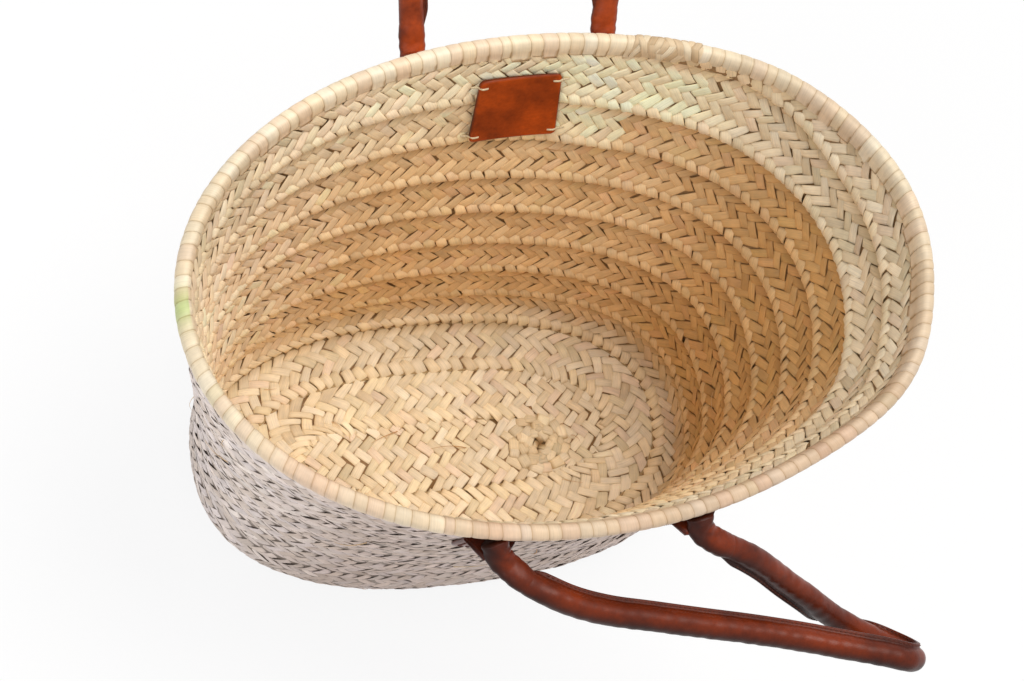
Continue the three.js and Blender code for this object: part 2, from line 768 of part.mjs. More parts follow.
for (const [side, name] of [[-1, 'front_handle'], [1, 'back_handle']]) {
  const fold = foldLine(side);
  if (side > 0) addHandle(name, backRoute(fold), fold);
  else addHandle(name, frontRoute(fold), fold, [frontFinTurnStart, frontFinTurnEnd]);
  addTab(`${name}_left_tab`, -handleSpacing / 2, side, fold);
  addTab(`${name}_right_tab`, handleSpacing / 2, side, fold);
}

addLabel();
addLabelStitch('label_stitch_top_left', -1, 1);
addLabelStitch('label_stitch_top_right', 1, 1);
addLabelStitch('label_stitch_bottom_left', -1, -1);
addLabelStitch('label_stitch_bottom_right', 1, -1);

export default basket;
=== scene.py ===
"""Straw shoulder basket: woven palm leaf, bound rim and leather handles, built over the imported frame."""

import math

import bmesh
import bpy
import numpy as np
from mathutils import Matrix, Vector


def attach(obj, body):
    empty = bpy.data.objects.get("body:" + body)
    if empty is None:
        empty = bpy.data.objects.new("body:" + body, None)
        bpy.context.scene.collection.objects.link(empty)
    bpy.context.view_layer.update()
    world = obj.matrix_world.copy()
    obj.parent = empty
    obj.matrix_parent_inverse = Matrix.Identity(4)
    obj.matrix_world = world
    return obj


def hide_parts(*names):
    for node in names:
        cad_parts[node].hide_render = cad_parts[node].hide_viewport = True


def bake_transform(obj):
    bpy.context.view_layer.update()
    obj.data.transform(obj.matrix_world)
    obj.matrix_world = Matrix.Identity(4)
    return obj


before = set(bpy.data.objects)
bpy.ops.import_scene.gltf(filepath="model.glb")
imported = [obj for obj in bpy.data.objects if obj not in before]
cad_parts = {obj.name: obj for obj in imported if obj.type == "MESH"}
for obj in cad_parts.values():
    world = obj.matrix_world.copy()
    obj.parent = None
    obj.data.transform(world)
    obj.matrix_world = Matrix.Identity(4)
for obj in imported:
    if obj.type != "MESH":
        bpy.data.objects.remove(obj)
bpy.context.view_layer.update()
rng = np.random.default_rng(41)
MM = 0.001

# Driving sizes in millimetres, the same as the solids have
MOUTH_LENGTH, MOUTH_WIDTH, MOUTH_ROUNDNESS, MOUTH_SHIFT = 500.0, 342.0, 2.03, 9.0
# Places where the soft mouth bulges: angle, share of its radius, spread in degrees
MOUTH_BULGES = [(-36.0, 0.038, 16.0), (48.0, 0.021, 16.0)]
RIM_HEIGHT, RIM_END_RISE, RIM_CROSS_DIP, RIM_BACK_RISE = 336.0, 13.0, 4.0, 4.0
FOOT_LENGTH, FOOT_WIDTH, FOOT_ROUNDNESS, FOOT_SHIFT = 396.0, 230.0, 2.4, -4.0
FOOT_HEIGHT, CORNER_INSET, WALL_FLARE = 30.0, 20.0, 0.41
PLAIT_PITCH, PLAIT_THICKNESS = 41.4, 6.0
FIRST_SEAM, STRIP_HALF_LENGTH = 3.8, 73.0
SPLICE_ANGLE = math.radians(65.0)
WALL_TURNS, TAIL_TAPER, TAIL_END_WIDTH = 7, 0.14, 6.0
CORE_RADIUS, CORE_LIFT = 3.4, 0.6
HANDLE_SPACING, HANDLE_RADIUS, BACK_SHIFT = 135.0, 8.5, 12.0
HINGE_OUT, HINGE_DROP = 15.0, 15.0

# Woven strands
STRAND_FLOAT = 14.0
ROW = STRAND_FLOAT / math.sqrt(2)
ROW_HEIGHT = 10.2
BACKING_DEPTH, OUTER_BACKING_DEPTH = 1.9, 2.85
LABEL_WIDTH, LABEL_HEIGHT, LABEL_THICKNESS, LABEL_GAP = 59.0, 64.0, 2.0, 2.2
LABEL_TOP, LABEL_MIDDLE, LABEL_LEVEL, LABEL_TILT = 25.5, 20.0, 281.0, math.radians(1.5)
# The wall bends under the label and shows its lower right corner wider
LABEL_SPREAD, LABEL_LEFT_LIFT = 5.0, 1.4
# How far the label presses the weave under it flat
LABEL_PRESS = 0.85


def linear(r, g, b):
    """Scene colour of an 8-bit screen colour."""
    return tuple((c / 255 / 12.92) if c <= 10 else ((c / 255 + 0.055) / 1.055) ** 2.4 for c in (r, g, b))


def oval(angle, length, width, roundness):
    c, s = np.cos(angle), np.sin(angle)
    reach = (np.abs(c) ** roundness + np.abs(s) ** roundness) ** (-1 / roundness)
    return length / 2 * c * reach, width / 2 * s * reach


def mouth_point(angle):
    angle = np.asarray(angle, dtype=float)
    bulge = 1.0 + 0 * angle
    for at, share, spread in MOUTH_BULGES:
        away = np.mod(np.degrees(angle) - at + 180, 360) - 180
        bulge = bulge + share * np.exp(-((away / spread) ** 2))
    x, y = oval(angle, MOUTH_LENGTH * bulge, MOUTH_WIDTH * bulge, MOUTH_ROUNDNESS)
    z = (RIM_HEIGHT + RIM_END_RISE * np.cos(angle) + RIM_CROSS_DIP * np.cos(2 * angle)
         + RIM_BACK_RISE * np.sin(angle))
    return np.stack([x + MOUTH_SHIFT, y, z], -1)


# Table of the middle surface: a line from the base to above the rim at each angle, at even running lengths
ANGLES, RUN_STEP, RUN_LOW, RUN_HIGH = 1440, 2.0, -130.0, 400.0


def build_surface():
    base = PLAIT_THICKNESS / 2
    angle = np.arange(ANGLES) * 2 * np.pi / ANGLES
    fx, fy = oval(angle, FOOT_LENGTH, FOOT_WIDTH, FOOT_ROUNDNESS)
    ex, ey = oval(angle, FOOT_LENGTH - 2 * CORNER_INSET, FOOT_WIDTH - 2 * CORNER_INSET, FOOT_ROUNDNESS)
    foot = np.stack([fx + FOOT_SHIFT, fy, np.full(ANGLES, base + FOOT_HEIGHT)], -1)
    edge = np.stack([ex + FOOT_SHIFT, ey, np.full(ANGLES, base)], -1)
    elbow = np.stack([foot[:, 0], foot[:, 1], np.full(ANGLES, base)], -1)
    mouth = mouth_point(angle)
    t = np.linspace(0, 1, 17)[:, None, None]
    corner = (1 - t) ** 2 * edge + 2 * t * (1 - t) * elbow + t ** 2 * foot
    w = np.linspace(0, 1, 49)[1:, None, None]
    out = 3 * (1 - WALL_FLARE) * w ** 2 * (1 - w) + w ** 3
    share = np.concatenate([out, out, w], -1)
    wall = foot + (mouth - foot) * share
    above = wall[-1] + (wall[-1] - wall[-2]) * 6
    line = np.concatenate([corner, wall, above[None]], 0)
    steps = np.linalg.norm(np.diff(line, axis=0), axis=-1)
    lengths = np.concatenate([np.zeros((1, ANGLES)), np.cumsum(steps, 0)], 0)
    runs = np.arange(RUN_LOW, RUN_HIGH, RUN_STEP)
    table = np.zeros((ANGLES, len(runs), 3))
    for k in range(3):
        for i in range(ANGLES):
            table[i, :, k] = np.interp(runs, lengths[:, i], line[:, i, k])
    flat = runs < 0
    centre_x = np.clip(edge[:, 0], -STRIP_HALF_LENGTH, STRIP_HALF_LENGTH)
    centre = np.stack([centre_x, 0 * angle, 0 * angle + base], -1)
    inward = centre - edge
    reach = np.linalg.norm(inward, axis=-1)
    part = np.minimum(-runs[flat][None, :] / reach[:, None], 1.0)
    table[:, flat] = edge[:, None, :] + inward[:, None, :] * part[..., None]
    return table, lengths[-2]


SURFACE, TOTAL = build_surface()


def total_run(angle):
    place = np.mod(angle / (2 * np.pi), 1) * ANGLES
    low = np.floor(place).astype(int)
    share = place - low
    return TOTAL[low % ANGLES] * (1 - share) + TOTAL[(low + 1) % ANGLES] * share


def surface(angle, run):
    angle, run = np.broadcast_arrays(angle, run)
    a = np.mod(angle / (2 * np.pi), 1) * ANGLES
    r = np.clip((run - RUN_LOW) / RUN_STEP, 0, SURFACE.shape[1] - 1.001)
    a0, r0 = np.floor(a).astype(int), np.floor(r).astype(int)
    fa, fr = (a - a0)[..., None], (r - r0)[..., None]
    a0, a1 = a0 % ANGLES, (a0 + 1) % ANGLES
    low = SURFACE[a0, r0] * (1 - fa) + SURFACE[a1, r0] * fa
    high = SURFACE[a0, r0 + 1] * (1 - fa) + SURFACE[a1, r0 + 1] * fa
    return low * (1 - fr) + high * fr


def unit(v):
    return v / np.maximum(np.linalg.norm(v, axis=-1, keepdims=True), 1e-9)


def path_length(points):
    """Running length at each point of a line."""
    return np.concatenate([[0], np.cumsum(np.linalg.norm(np.diff(points, axis=0), axis=-1))])


def sample(at, along, values):
    """Points or directions that are given along a line, at other running lengths."""
    return np.stack([np.interp(at, along, values[:, k]) for k in range(3)], -1)


def surface_frame(angle, run):
    point = surface(angle, run)
    along = unit(surface(angle + 0.012, run) - surface(angle - 0.012, run))
    up = unit(surface(angle, run + 3.0) - surface(angle, run - 3.0))
    return point, along, up, unit(np.cross(along, up))


def offset(angle, run, outward):
    point, _, _, out = surface_frame(angle, run)
    return point + out * np.asarray(outward)[..., None]


def smoothstep(x, low, high):
    t = np.clip((x - low) / (high - low), 0, 1)
    return t * t * (3 - 2 * t)


# The plait as one long strip: turns are counted from the foot corner, and length runs along its middle
def low_seam(turns):
    """Running height of the strip's lower edge; the last turn's edge rises into the rim."""
    run = FIRST_SEAM + PLAIT_PITCH * turns
    lift = smoothstep(turns - WALL_TURNS, 1 - TAIL_TAPER, 1)
    top = plait_top(turns) - TAIL_END_WIDTH
    return run + lift * (top - run)


def plait_top(turns):
    return total_run(SPLICE_ANGLE + 2 * np.pi * turns) + CORE_LIFT - CORE_RADIUS


def high_seam(turns):
    return np.where(turns + 1 < WALL_TURNS + 1, low_seam(turns + 1), plait_top(turns))


TURN_GRID = np.linspace(-3.2, WALL_TURNS + 1, 8961)
middle_line = surface(SPLICE_ANGLE + 2 * np.pi * TURN_GRID, FIRST_SEAM + PLAIT_PITCH * (TURN_GRID + 0.5))
LENGTH_GRID = path_length(middle_line)


def turns_at(length):
    return np.interp(length, LENGTH_GRID, TURN_GRID)


# Mesh making
def grid_faces(rows, cols, closed=False):
    i, j = np.meshgrid(np.arange(rows - 1), np.arange(cols if closed else cols - 1), indexing="ij")
    i, j = i.ravel(), j.ravel()
    next_j = (j + 1) % cols
    return np.stack([i * cols + j, i * cols + next_j, (i + 1) * cols + next_j, (i + 1) * cols + j], 1)


def tube_faces(rows, cols):
    """Faces of a tube of rings that is shut at both ends."""
    ends = [list(range(cols - 1, -1, -1)), list(range((rows - 1) * cols, rows * cols))]
    return grid_faces(rows, cols, True).tolist() + ends


# One leaf that shows between two crossings, a float: places along it and across it, and its height there
FLOAT_P = np.array([-0.5, -0.42, -0.34, -0.12, 0.12, 0.34, 0.42, 0.5])
FLOAT_Q = np.array([-0.5, -0.455, -0.27, 0.0, 0.27, 0.455, 0.5])
END_DIP = np.array([-1.8, -1.1, 0.12, 0.5, 0.5, 0.12, -1.1, -1.8])
EDGE_DROP = np.array([1.05, 0.36, 0.1, 0.0, 0.1, 0.36, 1.05])
# How much longer a leaf is than what shows of it, and how much broader the outer leaves are
FLOAT_SPARE, OUTER_SPARE, OUTER_BREADTH = 4.4, 5.8, 1.06


def float_faces():
    rows, cols = len(FLOAT_P), len(FLOAT_Q)
    faces = grid_faces(rows, cols).tolist()
    for i in range(rows - 1):
        faces.append([i * cols, (i + 1) * cols, (i + 1) * cols + cols - 1, i * cols + cols - 1])
    faces.append(list(range(cols)))
    faces.append([(rows - 1) * cols + j for j in range(cols - 1, -1, -1)])
    return faces


FLOAT_FACES, FLOAT_TOPS = float_faces(), (len(FLOAT_P) - 1) * (len(FLOAT_Q) - 1)


class Parts:
    """Points in millimetres, faces, colours and strand places of one piece, gathered part by part."""

    def __init__(self):
        self.verts, self.faces, self.tints, self.strands = [], [], [], []
        self.used, self.leaves = 0, 0

    def add(self, verts, faces, tint=None, strand=None):
        verts = np.asarray(verts).reshape(-1, 3)
        self.verts.append(verts)
        self.faces += [[v + self.used for v in f] for f in faces]
        self.used += len(verts)
        if tint is not None:
            self.tints.append(np.broadcast_to(np.asarray(tint).reshape(-1, 3), verts.shape))
        if strand is not None:
            self.strands.append(np.asarray(strand).reshape(-1, 3))

    def add_leaves(self, points, colour, shade, strand):
        """Adds leaves, which come before all other parts: one colour each, shaded point by point."""
        size = len(FLOAT_P) * len(FLOAT_Q)
        faces = [[v + k * size for v in f] for k in range(len(points)) for f in FLOAT_FACES]
        self.add(points, faces, np.clip(colour[:, None, None, :] * shade, 0, 1), strand)
        self.leaves += len(points)

    def piece(self, name, material, body, replaces=(), slot=None):
        """Makes the piece; it has no body where none is given, as for the sleeves."""
        verts = np.concatenate(self.verts)
        mesh = bpy.data.meshes.new(name)
        mesh.from_pydata((verts * MM).tolist(), [], self.faces)
        mesh.validate()
        # Every closed shell faces outward
        shells = bmesh.new()
        shells.from_mesh(mesh)
        bmesh.ops.recalc_face_normals(shells, faces=shells.faces)
        shells.to_mesh(mesh)
        shells.free()
        if self.tints:
            layer = mesh.attributes.new("tint", "FLOAT_COLOR", "POINT")
            colour = np.concatenate([np.concatenate(self.tints), np.ones((len(verts), 1))], 1)
            layer.data.foreach_set("color", colour.astype(np.float32).ravel())
        if self.strands:
            layer = mesh.attributes.new("strand", "FLOAT_VECTOR", "POINT")
            layer.data.foreach_set("vector", np.concatenate(self.strands).astype(np.float32).ravel())
        # The underside and the ends of each leaf are flat, which keeps its edges crisp
        per_leaf = len(FLOAT_FACES)
        order = np.arange(len(self.faces))
        smooth = (order % per_leaf < FLOAT_TOPS) | (order >= self.leaves * per_leaf)
        mesh.polygons.foreach_set("use_smooth", smooth)
        mesh.materials.append(material)
        piece = place_object(name, mesh)
        if body:
            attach(piece, body)
        if replaces:
            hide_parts(*replaces)
        return piece


def place_object(name, data):
    thing = bpy.data.objects.new(name, data)
    bpy.context.scene.collection.objects.link(thing)
    return thing


# Materials
class Shading:
    """A node tree, with short ways to add the nodes that the materials share."""

    def __init__(self, tree):
        self.nodes, self.links = tree.nodes, tree.links

    def feed(self, node, values):
        """Gives inputs, by name or number, a value or the output of another node."""
        for socket, value in values.items():
            if isinstance(value, bpy.types.NodeSocket):
                self.links.new(value, node.inputs[socket])
            else:
                node.inputs[socket].default_value = value

    def node(self, kind, values=None, **settings):
        made = self.nodes.new("ShaderNode" + kind)
        for setting, value in settings.items():
            setattr(made, setting, value)
        self.feed(made, values or {})
        return made

    def noise(self, place, scale, detail, roughness):
        values = {"Vector": place, "Scale": scale, "Detail": detail, "Roughness": roughness}
        return self.node("TexNoise", values).outputs["Fac"]

    def ranged(self, value, low, high, start=0.3, end=0.7):
        values = {"Value": value, "From Min": start, "From Max": end, "To Min": low, "To Max": high}
        return self.node("MapRange", values).outputs["Result"]

    def product(self, a, b):
        return self.node("VectorMath", {0: a, 1: b}, operation="MULTIPLY").outputs["Vector"]

    def maths(self, operation, a, b):
        return self.node("Math", {0: a, 1: b}, operation=operation).outputs["Value"]

    def attribute(self, name, output):
        return self.node("Attribute", attribute_name=name).outputs[output]

    def object_place(self):
        return self.node("TexCoord").outputs["Object"]

    def bump(self, shader, height, strength, distance):
        bump = self.node("Bump", {"Height": height, "Strength": strength, "Distance": distance})
        self.feed(shader, {"Normal": bump.outputs["Normal"]})


def new_material(name):
    material = bpy.data.materials.new(name)
    material.use_nodes = True
    tree = Shading(material.node_tree)
    return material, tree, tree.nodes["Principled BSDF"]


def strand_material(name, roughness, fibre, fibre_scale):
    """Palm leaf: the tint that each strand carries, which holds painted light and shade, with fine fibres
    along it and a faint waxy gloss.
    """
    material, tree, shader = new_material(name)
    place = tree.attribute("strand", "Vector")
    fibres = tree.noise(tree.product(place, fibre_scale), 1.0, 3.0, 0.6)
    shade = tree.ranged(fibres, 1 - fibre, 1 + fibre * 0.6)
    patch = tree.ranged(tree.noise(place, 0.11, 2.0, 0.5), 0.9, 1.07)
    colour = tree.product(tree.product(tree.attribute("tint", "Color"), shade), patch)
    rough = tree.ranged(fibres, roughness - 0.08, roughness + 0.1)
    tree.feed(shader, {"Base Color": colour, "Roughness": rough})
    tree.bump(shader, fibres, 0.35, 0.00025)
    return material


def leather_material(name, light, dark, gloss, shine):
    """Cognac leather: pull-up colour patches and fine grain, times the tint that each point carries, which
    on the handles holds painted light and shade.
    """
    material, tree, shader = new_material(name)
    place = tree.object_place()
    patch, fine = tree.noise(place, 28.0, 4.0, 0.6), tree.noise(place, 420.0, 4.0, 0.65)
    grain = tree.node("TexVoronoi", {"Vector": place, "Scale": 900.0}).outputs["Distance"]
    share = tree.ranged(patch, 0.0, 1.0, 0.28, 0.66)
    mix = tree.node("Mix", {"A": (*dark, 1), "B": (*light, 1), "Factor": share}, data_type="RGBA")
    colour = tree.product(mix.outputs["Result"], tree.attribute("tint", "Color"))
    tree.feed(shader, {
        "Base Color": tree.product(colour, tree.ranged(fine, 0.86, 1.1)),
        "Roughness": tree.ranged(patch, gloss + 0.1, gloss - 0.06),
        "Specular IOR Level": shine,
    })
    tree.bump(shader, tree.maths("ADD", tree.ranged(grain, 0.0, 0.7, 0.0, 1.0), fine), 0.22, 0.0003)
    return material


def plain_fibre_material(name, colour, scale, roughness=0.8):
    material, tree, shader = new_material(name)
    fibres = tree.noise(tree.object_place(), scale, 3.0, 0.6)
    plain = tree.node("RGB").outputs[0]
    plain.default_value = (*colour, 1)
    colour = tree.product(plain, tree.ranged(fibres, 0.7, 1.15))
    tree.feed(shader, {"Base Color": colour, "Roughness": roughness})
    tree.bump(shader, fibres, 0.4, 0.0003)
    return material


palm = strand_material("palm_leaf", roughness=0.62, fibre=0.16, fibre_scale=(0.05, 1.9, 7.0))
binding_palm = strand_material("palm_binding", roughness=0.5, fibre=0.1, fibre_scale=(1.7, 0.05, 7.0))
cord_palm = plain_fibre_material("palm_cord", linear(176, 148, 104), 500.0)
leather = leather_material("leather", linear(150, 58, 18), linear(84, 28, 8), gloss=0.36, shine=0.2)
dark_thread = plain_fibre_material("dark_thread", linear(88, 38, 20), 900.0)
pale_thread = plain_fibre_material("pale_thread", linear(226, 206, 168), 900.0)


# Woven faces
LEAF_ANGLE = 45.0
# Scatter of the leaves: turn in radians, shift along and across the strip, taper and lift
TURN_SCATTER, ALONG_SCATTER, ACROSS_SCATTER, TAPER_SCATTER, LIFT_SCATTER = 0.07, 0.45, 0.4, 0.1, 0.16
# Shade at a leaf's sides and at its ends: on the edge, and next to it
SIDE_SHADE, END_SHADE = (0.76, 0.97), (0.6, 0.86)
# How much of a palette's spread is used, how unevenly light the strands are, and how many differ
PALETTE_SPREAD, LIGHT_SCATTER, STRAND_KEYS = 0.62, 0.06, 4096


def each(values):
    """One value for each leaf, for all its points."""
    return values[:, None, None]


def float_shapes(count, slant, angle=LEAF_ANGLE, height=ROW, puff=1.0, spare=FLOAT_SPARE):
    """Local places of the points of many floats: along the strip, across it and out of it."""
    shape = (count, len(FLOAT_P), len(FLOAT_Q))
    lean = math.radians(angle)
    turn = slant * lean + rng.normal(0, TURN_SCATTER, count)
    length = (height / math.sin(lean) + spare) * rng.uniform(0.94, 1.05, count)
    breadth = OUTER_BREADTH if spare > FLOAT_SPARE else 1.0
    width = ROW * math.sin(lean) * rng.uniform(0.96, 1.13, count) * breadth
    p, q = np.broadcast_arrays(FLOAT_P[None, :, None] * each(length), FLOAT_Q[None, None, :] * each(width))
    # Each leaf is cut a little uneven and curls across its width
    q = q * (1 + each(rng.normal(0, TAPER_SCATTER, count)) * FLOAT_P[None, :, None] * 2)
    c, s = each(np.cos(turn)), each(np.sin(turn))
    along = p * c - q * s + each(rng.normal(0, ALONG_SCATTER, count))
    across = p * s + q * c + each(rng.normal(0, ACROSS_SCATTER, count))
    tilt = each(rng.normal(0.045, 0.05, count)) * q + each(rng.normal(0, 0.02, count)) * p
    crown = each(rng.uniform(0.75, 1.25, count))
    lift = puff * (END_DIP[None, :, None] - EDGE_DROP[None, None, :] * crown) + tilt
    lift = np.broadcast_to(lift + each(rng.normal(0, LIFT_SCATTER, count)), shape)
    strand = np.stack([p, q, each(rng.uniform(0, 40, count)) + 0 * p], -1)
    shade = np.ones(shape)
    shade[:, :, [1, -2]] = SIDE_SHADE[1]
    shade[:, [1, -2], :] *= END_SHADE[1]
    shade[:, :, [0, -1]] = SIDE_SHADE[0]
    shade[:, [0, -1], :] = END_SHADE[0]
    return along, across, lift, strand, shade


def pick_tints(keys, palette):
    """One colour for each strand, the same wherever that strand shows."""
    colours = np.array([linear(*c) for c in palette])
    colours = colours.mean(0) + PALETTE_SPREAD * (colours - colours.mean(0))
    weights = np.array(list(palette.values()))
    edges = np.cumsum(weights / np.sum(weights))
    spin = np.random.default_rng(7)
    table = np.searchsorted(edges, spin.uniform(0, 1, STRAND_KEYS))
    light = spin.normal(1.0, LIGHT_SCATTER, STRAND_KEYS)
    keys = np.mod(keys.astype(int), STRAND_KEYS)
    return colours[table[keys]] * light[keys][:, None]


# Leaf colours of the faces as 8-bit screen colours, and how common each one is
INNER_LEAVES = {(236, 200, 150): 32, (232, 193, 140): 24, (240, 207, 160): 16,
                (224, 183, 130): 12, (230, 198, 142): 8, (235, 193, 150): 8}
BASE_LEAVES = {(245, 229, 198): 30, (242, 221, 183): 22, (250, 236, 210): 20,
               (238, 221, 181): 10, (244, 219, 194): 10, (228, 204, 166): 8}
UPPER_LEAVES = {(242, 222, 188): 28, (234, 213, 176): 22, (228, 213, 176): 14,
                (240, 214, 184): 14, (218, 198, 162): 9, (248, 234, 206): 13}
OUTER_LEAVES = {(228, 213, 204): 28, (218, 202, 190): 22, (222, 210, 206): 20,
                (214, 197, 182): 13, (200, 182, 166): 6, (234, 222, 212): 14}
# Painted highlight: the lower edge row, which rolls out over the turn below, is lightened towards this
# colour
EDGE_ROW_HIGHLIGHT = np.array(linear(246, 222, 180))
# Painted shadow: dark backing that shows between the strands, inside and outside
BACKING_SHADOW_TINT, OUTER_BACKING_SHADOW_TINT = np.array(linear(146, 112, 72)), np.array(linear(150, 134, 122))
# The wall is more golden low on the right, partly its tone and partly painted warm shade, and paler on the
# left and in front, which is painted light
GOLDEN_TONE_AND_SHADE = np.array([0.76, 0.66, 0.48])
PAINTED_LIGHT_LEFT, PAINTED_LIGHT_FRONT = np.array([1.18, 1.4, 1.95]), np.array([1.08, 1.17, 1.34])
# The outer face is greyer and darker than its leaves, partly its tone and partly painted shade, except at
# the left end, which painted light makes lighter
OUTER_GREY_AND_SHADE, OUTER_END_LIGHT = np.array([0.81, 0.75, 0.72]), 1.1
# Light that is thrown between the strands makes their shade warmer
WARM_SHADE = np.array([0.75, 1.0, 1.4])
# The lower edge row of the plait stands on its edge and shows broad, steep, round leaves
EDGE_ROW_ANGLE, EDGE_ROW_PUFF = 62.0, 1.45
# The outer leaves lie flatter
OUTER_PUFF = 0.6
# On the base the leaves at both edges of the plait fold over from here, and rise to at least this, scattered
FOLD_EDGE, FOLD_LEAST, FOLD_SCATTER = 3.8, -0.3, 0.1
# Where the outer face and the middle of the base start in the row of strand numbers
OUTER_KEYS, CENTRE_KEYS = 977, 301
# How high the lower edge of a turn laps over the one below, and the rolls and creases at the edges
LAP_HEIGHT, INNER_CREASE, OUTER_ROLL, OUTER_CREASE = 4.2, -1.2, 1.1, -0.9
# Rows of leaves across the plait: the last turn is taller and needs the upper two as well
ROWS, UPPER_ROWS = 6, 4
# The wall's first turn that the label touches, and the wall's last full turn
LABEL_TURN, LAST_TURN = 5, WALL_TURNS - 1


def inner_roll(place, height):
    """How far the inner face stands in: the lower edge laps over the turn below like a clapboard."""
    lap = smoothstep(place, -2.5, 3.0) * (1 - 0.82 * smoothstep(place, 5.0, 22.0))
    return LAP_HEIGHT * lap + INNER_CREASE * smoothstep(place, height - 9.0, height - 1.0)


def outer_roll(place, height):
    roll = OUTER_ROLL * np.exp(-(((place - height + 4.5) / 4.6) ** 2))
    return roll + OUTER_CREASE * (1 - smoothstep(place, -1.0, 5.0))


def label_cover(points):
    """1 where the label presses the weave flat, 0 away from it."""
    x, z = points[..., 0], points[..., 2]
    beside = np.maximum(np.abs(x - LABEL_MIDDLE) - LABEL_WIDTH / 2, 0)
    above = np.maximum(np.abs(z - LABEL_LEVEL) - LABEL_HEIGHT / 2, 0)
    near = 1 - smoothstep(np.hypot(beside, above), 1.0, 12.0)
    return near * (points[..., 1] > 100)


def flatness(run):
    """The inner edges lap less on the base than up the wall."""
    return 0.35 + 0.65 * smoothstep(run, -30.0, 8.0)


def inner_colour(key, row, first, turns, angle, run):
    """Leaf colours of the inner face, blended from the base to the wall and to its pale top, with painted
    light and shade on the wall and a painted highlight on the lower edge row.
    """
    low = pick_tints(key, BASE_LEAVES)
    wall = pick_tints(key, INNER_LEAVES)
    high = pick_tints(key, UPPER_LEAVES)
    middle = angle.mean((1, 2))
    cos, sin = np.cos(middle), np.sin(middle)
    up_wall = smoothstep(run.mean((1, 2)), -10.0, 60.0)[:, None]
    # The top of the wall is paler, at the right end down to the seam of the last turn but one
    turn = turns.mean((1, 2))
    from_seam = smoothstep(turn, 6.60, 6.72) if first >= LAST_TURN else 0.0
    behind = smoothstep(sin, 0.7, 0.95) * smoothstep(cos, 0.0, 0.3)
    share = np.clip((run / total_run(angle)).mean((1, 2)), 0, 1)
    by_share = smoothstep(share, 0.66 - 0.04 * behind, 0.92 - 0.1 * behind)
    by_share = np.where((cos > 0.3) & (first < LAST_TURN), 0.0, by_share)
    pale = np.where((first == LAST_TURN) & (turn > 6.4), from_seam, by_share)[:, None]
    # Painted warm shade low on the right, painted light on the left and in front
    golden = smoothstep(cos, 0.52, 1.0)[:, None]
    left = smoothstep(-cos, 0.2, 0.9)[:, None]
    front = smoothstep(-sin, 0.3, 0.9)[:, None] * (1 - left)
    wall = wall * (1 + (GOLDEN_TONE_AND_SHADE - 1) * golden * (1 - np.maximum(left, front)))
    wall = wall * (1 + (PAINTED_LIGHT_LEFT - 1) * left + (PAINTED_LIGHT_FRONT - 1) * front) * 1.05
    # Painted light: the pale top is lighter at the back and beside the label
    beside_label = smoothstep(cos, 0.02, 0.25) * smoothstep(sin, 0.6, 0.9)
    high = high * (1 + 0.22 * smoothstep(sin, 0.6, 1.0) + 0.2 * beside_label)[:, None]
    colour = low * (1 - up_wall) + wall * up_wall
    colour = colour * (1 - pale) + high * pale
    # Painted highlight on the lower edge row
    if row == 0:
        colour = colour * 0.75 + EDGE_ROW_HIGHLIGHT * (0.29 - 0.04 * pale)
    return colour


